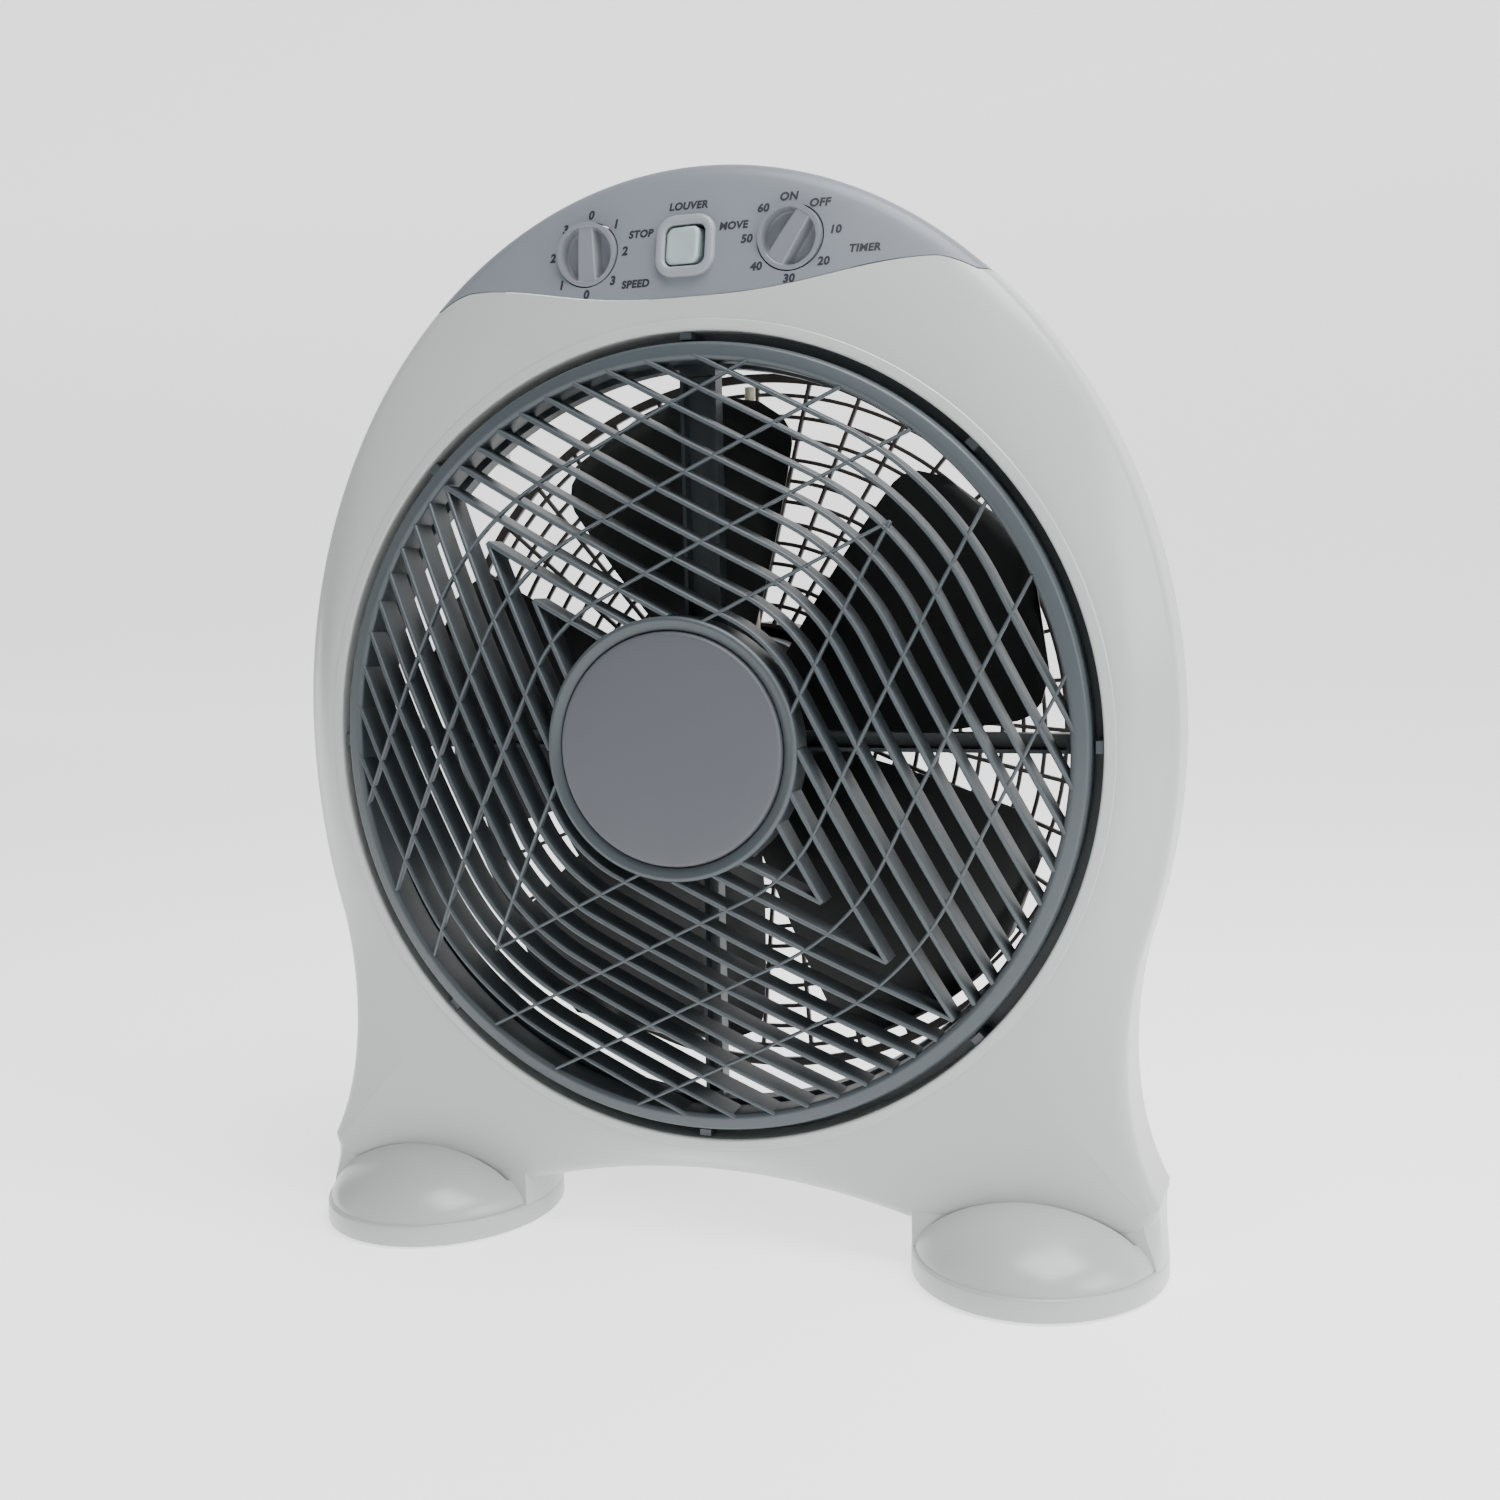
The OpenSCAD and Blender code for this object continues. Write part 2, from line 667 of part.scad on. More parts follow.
module louver_screw() {
    color(steel_c) {
        rod(6, disc_d - 3.5, disc_d - 1, 0, ring_z);
        rod(1.4, disc_d - 1 - e, disc_d + 7, 0, ring_z);
    }
}
module louver_shaft() {
    color(brass_c) tube(sync_shaft_r, 1.4, disc_d - 1, disc_d + 7, 0, ring_z);
    color(brass_c) rod(sync_shaft_r, disc_d + 7, sync_d0 + 6, 0, ring_z);
}
module louver_motor() {
    color(steel_c) difference() {
        union() {
            rod(sync_r, sync_d0, sync_d0 + sync_len);
            for (k = [-1, 1]) block(10, 10, sync_d0 + sync_len - 1.5, sync_d0 + sync_len, k * (sync_r - 3));
        }
        rod(sync_shaft_r + run_fit, sync_d0 - 1, sync_d0 + 6);
    }
}
// Tabs that stand on the spider's rim in the groove round the louver
guide_w = 5;
guide_gap = 0.4;
guide_play = 1.2;
module louver_guides() {
    color(slate_c) for (a = [0:45:315]) intersection() {
        tube(open_r - guide_gap, louver_r + guide_play, louver_front + 6.5, spider_d);
        at_depth(spider_d) rotate(a) translate([louver_r, -guide_w / 2, 0]) cube([open_r - louver_r, guide_w, spider_d]);
    }
}

// ---- spider behind the louver -----------------------------------------------------------------
spider_out_r = open_r + 4;
spider_rim_t = 2.5;
arm_w = [16, 8, 8, 8];
module spider_frame() {
    color(slate_c) {
        tube(spider_out_r, duct_r, spider_d, spider_d + spider_rim_t);
        tube(duct_r + 3, duct_r, spider_d, spider_d + spider_t);
        for (i = [0:3]) difference() {
            at_depth(spider_d + spider_t) rotate(90 - 90 * i) translate([cup_r - 1, -arm_w[i] / 2, 0])
                cube([duct_r - cup_r + 2, arm_w[i], spider_t]);
            at_depth(spider_d + spider_t - 2) rotate(90 - 90 * i) translate([cup_r + 3, 1.6 - arm_w[i] / 2, 0])
                cube([duct_r - cup_r - 6, arm_w[i] - 3.2, spider_t]);
        }
        difference() {
            rod(cup_r, sync_d0 + 1, cup_d1);
            rod(sync_r + 3, sync_d0, sync_d0 + sync_len);
        }
    }
}

// ---- impeller ------------------------------------------------------------------------------------
blade_cols = 10;
blade_rows = 9;
blade_root_r = impeller_hub_r - 1;
tip_round_r = 0.8;
function blade_half(v) = let (span = 31 - 5 * v, w = max(v - tip_round_r, 0) / (1 - tip_round_r))
    span * pow(1 - pow(min(w, 0.985), 2.6), 0.42);
function blade_depth(u, v) = let (reach = blade_reach * (1 - 0.25 * v) / 2)
    (hub_d0 + hub_d1) / 2 + reach * u + 3.5 * (1 - u * u) * (0.4 + v);
function blade_point(i, j, side) =
    let (u = 2 * i / blade_cols - 1, v = j / blade_rows, r = blade_root_r + (blade_r - blade_root_r) * v,
        a = blade_half(v) * u, t = blade_t * (1 - 0.55 * u * u))
    [r * cos(a), r * sin(a), -(blade_depth(u, v) + side * t / 2)];
module blade() {
    n = blade_cols + 1;
    side_n = n * (blade_rows + 1);
    function at(i, j, s) = s * side_n + j * n + i;
    polyhedron(
        points = [for (s = [0, 1], j = [0:blade_rows], i = [0:blade_cols]) blade_point(i, j, 1 - 2 * s)],
        faces = concat(
            [for (j = [0:blade_rows - 1], i = [0:blade_cols - 1]) each [
                [at(i, j, 0), at(i, j + 1, 0), at(i + 1, j + 1, 0)], [at(i, j, 0), at(i + 1, j + 1, 0), at(i + 1, j, 0)],
                [at(i, j, 1), at(i + 1, j + 1, 1), at(i, j + 1, 1)], [at(i, j, 1), at(i + 1, j, 1), at(i + 1, j + 1, 1)]]],
            [for (i = [0:blade_cols - 1], j = [0, blade_rows]) let (p = at(i, j, 0), q = at(i + 1, j, 0),
                r = at(i + 1, j, 1), s = at(i, j, 1)) each j == 0 ? [[p, q, r], [p, r, s]] : [[p, r, q], [p, s, r]]],
            [for (j = [0:blade_rows - 1], i = [0, blade_cols]) let (p = at(i, j, 0), q = at(i, j + 1, 0),
                r = at(i, j + 1, 1), s = at(i, j, 1)) each i == 0 ? [[p, r, q], [p, s, r]] : [[p, q, r], [p, r, s]]])
    );
}
first_blade = 102;
module impeller() {
    color(dark_c) {
        for (k = [0:blades - 1]) at_depth(0) rotate(first_blade + 360 * k / blades) blade();
        turned([[shaft_r, hub_d0], [impeller_hub_r - 5, hub_d0], [impeller_hub_r, hub_d0 + 5],
            [impeller_hub_r, hub_d1], [impeller_hub_r - 3, hub_d1], [impeller_hub_r - 3, hub_d0 + 6],
            [impeller_hub_r - 6, hub_d0 + 3], [hub_boss_r, hub_d0 + 3], [hub_boss_r, motor_d0 - 2],
            [shaft_r, motor_d0 - 2]]);
    }
}
module spinner_nut() {
    color(dark_c) difference() {
        union() {
            rod(nut_r, hub_d0 - 2.5, hub_d0);
            rod(nut_r - 4, hub_d0 - nut_len, hub_d0 - 2);
        }
        rod(shaft_r, hub_d0 - nut_len + 2, hub_d0 + 1);
        for (a = [0:45:315]) let (p = on_ring(a, nut_r + 1)) rod(2.2, hub_d0 - 5, hub_d0 + 1, p[0], p[1]);
    }
}
module motor_shaft() { color(steel_c) rod(shaft_r, hub_d0 - nut_len + 2, motor_d1 - 1.5); }

// ---- motor ------------------------------------------------------------------------------------------
module front_bell() {
    bearing_d1 = motor_d0 + bearing_len;
    color([0.55, 0.56, 0.58]) difference() {
        turned([[bearing_r, motor_d0], [bell_r0, motor_d0], [bell_r0, motor_d0 + nose_len - 2],
            [motor_r, motor_d0 + nose_len - 2], [motor_r, stack_d0], [motor_r - bell_t, stack_d0],
            [motor_r - bell_t, motor_d0 + nose_len + bell_t - 2], [bell_r0 - bell_t, motor_d0 + nose_len + bell_t - 2],
            [bell_r0 - bell_t, motor_d0 + bell_t], [bearing_r + 3, motor_d0 + bell_t], [bearing_r + 3, bearing_d1],
            [bearing_r, bearing_d1]]);
        for (a = [15:30:345]) let (p = on_ring(a, bell_r0 - 8)) rod(2.5, motor_d0 - 1, motor_d0 + bell_t + 1, p[0], p[1]);
        for (a = bolt_angles) let (p = on_ring(a, bolt_ring)) rod(bolt_r, motor_d0, stack_d0 + 1, p[0], p[1]);
    }
}
bolt_ring = motor_r - 4.5;
bolt_r = 1.9;
bolt_angles = [45, 135, 225, 315];
module rear_bell() {
    color([0.55, 0.56, 0.58]) difference() {
        turned([[bearing_r, motor_d1], [motor_r, motor_d1], [motor_r, stack_d1], [motor_r - bell_t, stack_d1],
            [motor_r - bell_t, motor_d1 - bell_t], [bearing_r + 3, motor_d1 - bell_t],
            [bearing_r + 3, motor_d1 - rear_bearing_len], [bearing_r, motor_d1 - rear_bearing_len]]);
        for (a = bolt_angles) let (p = on_ring(a, bolt_ring)) rod(bolt_r, stack_d1 - 1, motor_d1 + 1, p[0], p[1]);
    }
}
rear_bearing_len = 8;
module bearing_front() { color(brass_c) tube(bearing_r, shaft_r + run_fit, motor_d0, motor_d0 + bearing_len); }
module bearing_rear() { color(brass_c) tube(bearing_r, shaft_r + run_fit, motor_d1 - rear_bearing_len, motor_d1); }
slots = 16;
slot_r0 = 27;
slot_r1 = 35;
module stator_core() {
    color([0.40, 0.41, 0.43]) difference() {
        tube(motor_r, stator_in_r, stack_d0, stack_d1);
        for (k = [0:slots - 1]) at_depth(stack_d1 + 1) rotate(360 * (k + 0.5) / slots)
            translate([slot_r0, -2, 0]) cube([slot_r1 - slot_r0, 4, stack_t + 2]);
        for (a = bolt_angles) let (p = on_ring(a, bolt_ring)) rod(bolt_r, stack_d0 - 1, stack_d1 + 1, p[0], p[1]);
    }
}
coil_over = 5;
module stator_windings() {
    color(copper_c) {
        for (k = [0:slots - 1]) at_depth(stack_d1) rotate(360 * (k + 0.5) / slots)
            translate([slot_r0, -2, 0]) cube([slot_r1 - slot_r0, 4, stack_t]);
        tube(slot_r1 + 0.5, slot_r0 - 1, stack_d0 - coil_over, stack_d0);
        tube(slot_r1 + 0.5, slot_r0 - 1, stack_d1, stack_d1 + coil_over);
    }
}
module rotor_core() {
    color([0.62, 0.63, 0.66]) tube(rotor_r, shaft_r, stack_d0 - 1, stack_d1);
}
module motor_bolts() {
    color(steel_c) for (a = bolt_angles) let (p = on_ring(a, bolt_ring)) {
        rod(bolt_r - 0.1, stack_d0 - 8, motor_d1 + plate_t, p[0], p[1]);
        rod(head_r, motor_d1 + plate_t, motor_d1 + plate_t + screw_head_t, p[0], p[1]);
    }
}

// ---- rear grille and motor cover -------------------------------------------------------------------------
guard_d = back_d - seat_depth;
guard_out_r = seat_out_r - slip;
guard_t = 3;
grille_screw_r = 1.2;
grille_head_r = 2;
grille_floor = 0.6;
grille_screw_angles = [22, 67, 157, 202, 247, 337];
module grille_screw_holes() {
    for (a = grille_screw_angles) let (p = on_ring(a, guard_out_r - 2))
        rod(grille_screw_r + screw_clear, guard_d - wall + grille_floor, guard_d + guard_t + 1, p[0], p[1]);
}
module rear_grille() {
    color(dark_c) difference() {
        union() {
            tube(guard_out_r, guard_out_r - 4, guard_d, guard_d + guard_t);
            for (r = [cup_wall_r + guard_pitch:guard_pitch:guard_out_r - 6])
                tube(r + guard_w, r, guard_d + 0.8, guard_d + guard_t);
            for (k = [0:guard_ribs - 1]) at_depth(guard_d + guard_t) rotate(360 * k / guard_ribs)
                translate([cup_wall_r + 1, 0, 0]) rotate(-14) translate([0, -guard_w / 2, 0])
                cube([guard_out_r - cup_wall_r - 3, guard_w, guard_t - 0.4]);
            turned([[cup_wall_r, guard_d], [cup_wall_r + 2, guard_d], [cup_wall_r + 2, motor_d1 + plate_t],
                [0, motor_d1 + plate_t], [0, motor_d1], [cup_wall_r, motor_d1]]);
        }
        for (a = bolt_angles) let (p = on_ring(a, bolt_ring))
            rod(bolt_r, motor_d1 - 1, motor_d1 + plate_t + 1, p[0], p[1]);
        for (a = [0:30:330], r = [18, 28]) let (p = on_ring(a, r))
            rod(2.4, motor_d1 - 1, motor_d1 + plate_t + 1, p[0], p[1]);
        grille_screw_holes();
    }
}
module motor_cover() {
    color(dark_c) difference() {
        turned([[0, rear_d], [cup_wall_r - 2, rear_d], [cup_wall_r, rear_d - 1.5], [cup_wall_r, motor_d1 + plate_t],
            [cup_wall_r - 2, motor_d1 + plate_t], [cup_wall_r - 2, rear_d - 1], [0, rear_d - 1]]);
        for (z = [-20:8:20]) block(44, 3, rear_d - 3, rear_d + 1, 0, ring_z + z);
    }
}
module grille_screws() {
    color(steel_c) for (a = grille_screw_angles) let (p = on_ring(a, guard_out_r - 2)) {
        rod(grille_head_r, guard_d + guard_t, guard_d + guard_t + 0.9, p[0], p[1]);
        rod(grille_screw_r, guard_d - wall + grille_floor + slip, guard_d + guard_t + e, p[0], p[1]);
    }
}

// ---- controls ----------------------------------------------------------------------------------------------
module knob() {
    difference() {
        rod(knob_r, knob_front, knob_back);
        for (k = [-1, 1]) intersection() {
            rod(knob_r - knob_rim, knob_front - 1, knob_front + scoop_depth);
            block(knob_r, 2 * knob_r, knob_front - 1, knob_front + scoop_depth + 1, k * (knob_r / 2 + 3.2));
        }
        rod(knob_shaft_r, knob_front + 3, knob_back + 1);
    }
}
timer_angle = -35;
module speed_knob() { color(slate_c * 1.2) translate([-knob_x, 0, panel_z - ring_z]) knob(); }
module timer_knob() {
    color(slate_c * 1.2) translate([knob_x, 0, panel_z]) rotate([0, -timer_angle, 0]) translate([0, 0, -ring_z]) knob();
}
module knob_shaft(x) { rod(knob_shaft_r, knob_front + 3, switch_d + 10, x, panel_z); }
module speed_shaft() { color(brass_c) knob_shaft(-knob_x); }
module timer_shaft() { color(brass_c) knob_shaft(knob_x); }
module control_case(x, w, h, len) {
    difference() {
        block(w, h, switch_d, switch_d + len, x, panel_z);
        rod(knob_shaft_r + run_fit, switch_d - 1, switch_d + 10 + slip, x, panel_z);
    }
}
module speed_switch() { color([0.2, 0.2, 0.22]) control_case(-knob_x, 27, 25, 16); }
module timer_case() { color([0.85, 0.83, 0.75]) control_case(knob_x, 31, 30, 22); }

bezel_front = panel_d - 2.6;
button_face = bezel_front - 1.2;
pivot_d = panel_d + 2;
pin_r = 1.5;
pin_over = 1;
module rocker_bezel() {
    color(panel_c * 1.05) difference() {
        rounded_block(bezel_s, 8, bezel_front, panel_d, 0, panel_z);
        rounded_block(button_s + 2 * button_gap, 3.6, bezel_front - 1, panel_d + 1, 0, panel_z);
    }
}
module rocker_button() {
    color([0.62, 0.68, 0.68]) translate([0, rim_y + pivot_d, panel_z]) rotate([0, 0, -rocker_tilt])
        translate([0, -rim_y - pivot_d, -panel_z]) {
            rounded_block(button_s, 3.2, button_face, pivot_d + pin_r, 0, panel_z);
            translate([0, rim_y + pivot_d, panel_z - button_s / 2 - pin_over])
                cylinder(r = pin_r, h = button_s + 2 * pin_over);
        }
}
module rocker_switch() {
    w = button_s + 4;
    pin_span = button_s + 2 * pin_over + 1;
    color([0.2, 0.2, 0.22]) difference() {
        block(w, w, panel_d, panel_d + 22, 0, panel_z);
        block(button_s + 2, button_s + 1, panel_d - 1, pivot_d + 4, 0, panel_z);
        translate([0, rim_y + pivot_d, panel_z - pin_span / 2]) cylinder(r = pin_r + 0.3, h = pin_span);
    }
}
module run_capacitor() {
    color([0.9, 0.9, 0.86]) block(36, 16, parting_d + 4, parting_d + 28, -(head_a - 50), 60);
}
module terminal_block() {
    color([0.93, 0.93, 0.9]) difference() {
        block(26, 12, parting_d + 8, parting_d + 24, head_a - 44, 95);
        for (k = [-1, 0, 1]) rod(2, parting_d + 6, parting_d + 18, head_a - 44 + 8 * k, 95);
    }
}
lead_r = 2.4;
module motor_lead() {
    lead_d = guard_d - lead_r - 0.5;
    color([0.85, 0.85, 0.85]) translate([0, rim_y + lead_d, ring_z + motor_r + 0.5]) cylinder(r = lead_r, h = seat_in_r - motor_r - 2);
}

front_shell();
rear_shell();
control_panel();
grip_cup();
cord_gland();
foot_left();
foot_right();
foot_pads();
foot_screws_set();  // foot_screws
shell_screws();
louver_grille();
louver_cap();
louver_screw();
louver_shaft();
louver_motor();
louver_guides();
spider_frame();
impeller();
spinner_nut();
motor_shaft();
rotor_core();
front_bell();  // motor_front_bell
rear_bell();  // motor_rear_bell
bearing_front();
bearing_rear();
stator_core();
stator_windings();
motor_bolts();
rear_grille();
motor_cover();
grille_screws();
speed_knob();
speed_shaft();
speed_switch();
timer_knob();
timer_shaft();
timer_case();
rocker_bezel();
rocker_button();
rocker_switch();
run_capacitor();
terminal_block();
motor_lead();
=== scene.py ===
"""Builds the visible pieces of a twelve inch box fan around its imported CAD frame.

Z is up and the air leaves towards -Y. A depth runs back from the rim of the front opening.
Lengths in the dataclasses are millimetres unless a name says otherwise, and every point that
goes into a mesh is in metres.
"""

from bisect import bisect
import logging
import math
from collections.abc import Callable, Iterable, Sequence
from dataclasses import dataclass, field
from enum import Enum

import bmesh
import bpy
from mathutils import Matrix, Vector


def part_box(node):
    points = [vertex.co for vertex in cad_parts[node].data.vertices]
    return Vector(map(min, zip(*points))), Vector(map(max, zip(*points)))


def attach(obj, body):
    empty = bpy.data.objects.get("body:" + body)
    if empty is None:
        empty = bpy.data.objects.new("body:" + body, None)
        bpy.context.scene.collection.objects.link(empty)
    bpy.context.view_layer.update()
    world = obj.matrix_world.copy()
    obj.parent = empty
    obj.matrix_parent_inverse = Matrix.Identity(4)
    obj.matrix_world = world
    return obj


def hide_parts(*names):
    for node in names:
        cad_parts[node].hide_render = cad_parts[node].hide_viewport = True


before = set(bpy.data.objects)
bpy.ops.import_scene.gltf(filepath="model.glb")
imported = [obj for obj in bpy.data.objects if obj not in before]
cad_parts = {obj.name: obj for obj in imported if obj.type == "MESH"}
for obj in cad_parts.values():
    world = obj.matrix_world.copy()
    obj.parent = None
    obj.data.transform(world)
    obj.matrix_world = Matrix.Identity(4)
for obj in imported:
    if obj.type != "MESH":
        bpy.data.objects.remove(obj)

MM = 0.001
LOG = logging.getLogger("box_fan")

Pair = tuple[float, float]
Mesh = tuple[list[Vector], list[tuple[int, ...]]]


# ---- finishes ------------------------------------------------------------------------------
class Surface(Enum):
    """How the surface of a piece was made, which sets its fine relief."""

    MOULDED = "moulded"
    POLISHED = "polished"
    RUBBER = "rubber"
    PRINTED = "printed"
    CAST = "cast"
    MACHINED = "machined"
    STACKED = "stacked"
    WOUND = "wound"


@dataclass(frozen=True)
class Finish:
    """One material of the fan.

    Attributes:
        slot: the record's material slot.
        colour: linear base colour.
        roughness: mean roughness.
        surface: the kind of fine relief.
        metallic: 0 for plastic, 1 for metal.
        coat: strength of a clear gloss over the base.
        grain: size of the fine relief, in millimetres.
        relief: strength of the fine relief.
        mottle: share by which the colour drifts over the piece.
        dust: share of pale dust that lies on faces that look up.
    """

    slot: str
    colour: tuple[float, float, float]
    roughness: float
    surface: Surface = Surface.MOULDED
    metallic: float = 0.0
    coat: float = 0.0
    grain: float = 0.5
    relief: float = 0.05
    mottle: float = 0.03
    dust: float = 0.0

    def material(self, name: str) -> bpy.types.Material:
        """Builds the node material.

        Args:
            name: the material's name.

        Returns:
            The new material.
        """
        made = bpy.data.materials.new(name)
        made.use_nodes = True
        tree = made.node_tree
        shader = tree.nodes["Principled BSDF"]
        shader.inputs["Metallic"].default_value = self.metallic
        shader.inputs["Coat Weight"].default_value = self.coat
        shader.inputs["Coat Roughness"].default_value = 0.12
        place = tree.nodes.new("ShaderNodeTexCoord").outputs["Object"]
        self._colour(tree, shader, place)
        self._roughness(tree, shader, place)
        self._relief(tree, shader, place)
        return made

    def _noise(self, tree: bpy.types.NodeTree, place: bpy.types.NodeSocket, size: float,
               detail: float = 2.0) -> bpy.types.NodeSocket:
        """Adds a noise whose features are size millimetres across and returns its value socket.

        Args:
            tree: the material's nodes.
            place: socket with the point on the piece.
            size: size of the features, in millimetres.
            detail: how many finer layers it has.

        Returns:
            The noise's value socket.
        """
        noise = tree.nodes.new("ShaderNodeTexNoise")
        noise.inputs["Scale"].default_value = 1 / (size * MM)
        noise.inputs["Detail"].default_value = detail
        tree.links.new(place, noise.inputs["Vector"])
        return noise.outputs["Fac"]

    def _colour(self, tree: bpy.types.NodeTree, shader: bpy.types.Node, place: bpy.types.NodeSocket) -> None:
        """Drifts the base colour slowly over the piece, and lays dust on faces that look up.

        Args:
            tree: the material's nodes.
            shader: the principled shader.
            place: socket with the point on the piece.
        """
        drift = tree.nodes.new("ShaderNodeValToRGB")
        low = [c * (1 - self.mottle) for c in self.colour]
        high = [min(c * (1 + self.mottle), 1) for c in self.colour]
        drift.color_ramp.elements[0].color = (*low, 1)
        drift.color_ramp.elements[0].position = 0.3
        drift.color_ramp.elements[1].color = (*high, 1)
        drift.color_ramp.elements[1].position = 0.7
        tree.links.new(self._noise(tree, place, 55), drift.inputs["Fac"])
        colour = drift.outputs["Color"]
        if self.dust:
            colour = self._dust(tree, place, colour)
        tree.links.new(colour, shader.inputs["Base Color"])

    def _dust(self, tree: bpy.types.NodeTree, place: bpy.types.NodeSocket,
              colour: bpy.types.NodeSocket) -> bpy.types.NodeSocket:
        """Mixes pale dust into a colour where the surface faces up, and returns the result.

        Args:
            tree: the material's nodes.
            place: socket with the point on the piece.
            colour: socket with the colour under the dust.

        Returns:
            The socket of the dusty colour.
        """
        split = tree.nodes.new("ShaderNodeSeparateXYZ")
        tree.links.new(tree.nodes.new("ShaderNodeNewGeometry").outputs["Normal"], split.inputs[0])
        up = tree.nodes.new("ShaderNodeMapRange")
        up.inputs["From Min"].default_value = 0.4
        up.inputs["To Max"].default_value = self.dust
        tree.links.new(split.outputs["Z"], up.inputs["Value"])
        patchy = tree.nodes.new("ShaderNodeMath")
        patchy.operation = "MULTIPLY"
        tree.links.new(up.outputs["Result"], patchy.inputs[0])
        tree.links.new(self._noise(tree, place, 3), patchy.inputs[1])
        mix = tree.nodes.new("ShaderNodeMix")
        mix.data_type = "RGBA"
        mix.inputs["B"].default_value = (0.55, 0.54, 0.52, 1)
        tree.links.new(patchy.outputs[0], mix.inputs["Factor"])
        tree.links.new(colour, mix.inputs["A"])
        return mix.outputs["Result"]

    def _roughness(self, tree: bpy.types.NodeTree, shader: bpy.types.Node,
                   place: bpy.types.NodeSocket) -> None:
        """Varies the roughness a little, as handling does.

        Args:
            tree: the material's nodes.
            shader: the principled shader.
            place: socket with the point on the piece.
        """
        spread = tree.nodes.new("ShaderNodeMapRange")
        spread.inputs["To Min"].default_value = self.roughness * 0.85
        spread.inputs["To Max"].default_value = self.roughness * 1.15
        tree.links.new(self._noise(tree, place, 18, 4), spread.inputs["Value"])
        tree.links.new(spread.outputs["Result"], shader.inputs["Roughness"])

    def _relief(self, tree: bpy.types.NodeTree, shader: bpy.types.Node, place: bpy.types.NodeSocket) -> None:
        """Adds the fine relief that the way of making leaves.

        Args:
            tree: the material's nodes.
            shader: the principled shader.
            place: socket with the point on the piece.
        """
        height = self._height(tree, place)
        bump = tree.nodes.new("ShaderNodeBump")
        bump.inputs["Strength"].default_value = self.relief
        bump.inputs["Distance"].default_value = 0.2 * MM
        tree.links.new(height, bump.inputs["Height"])
        tree.links.new(bump.outputs["Normal"], shader.inputs["Normal"])

    def _height(self, tree: bpy.types.NodeTree, place: bpy.types.NodeSocket) -> bpy.types.NodeSocket:
        """Returns the height pattern: bands for stacked sheets, wire and turned metal, or else noise.

        Args:
            tree: the material's nodes.
            place: socket with the point on the piece.

        Returns:
            The socket of the height.
        """
        if self.surface in (Surface.STACKED, Surface.WOUND, Surface.MACHINED):
            bands = tree.nodes.new("ShaderNodeTexWave")
            bands.bands_direction = "Y" if self.surface is not Surface.WOUND else "DIAGONAL"
            bands.inputs["Scale"].default_value = 1 / (self.grain * MM * 3)
            bands.inputs["Distortion"].default_value = 0.6
            tree.links.new(place, bands.inputs["Vector"])
            return bands.outputs["Fac"]
        if self.surface is Surface.CAST:
            cells = tree.nodes.new("ShaderNodeTexVoronoi")
            cells.inputs["Scale"].default_value = 1 / (self.grain * MM)
            tree.links.new(place, cells.inputs["Vector"])
            return cells.outputs["Distance"]
        return self._noise(tree, place, self.grain, 3)


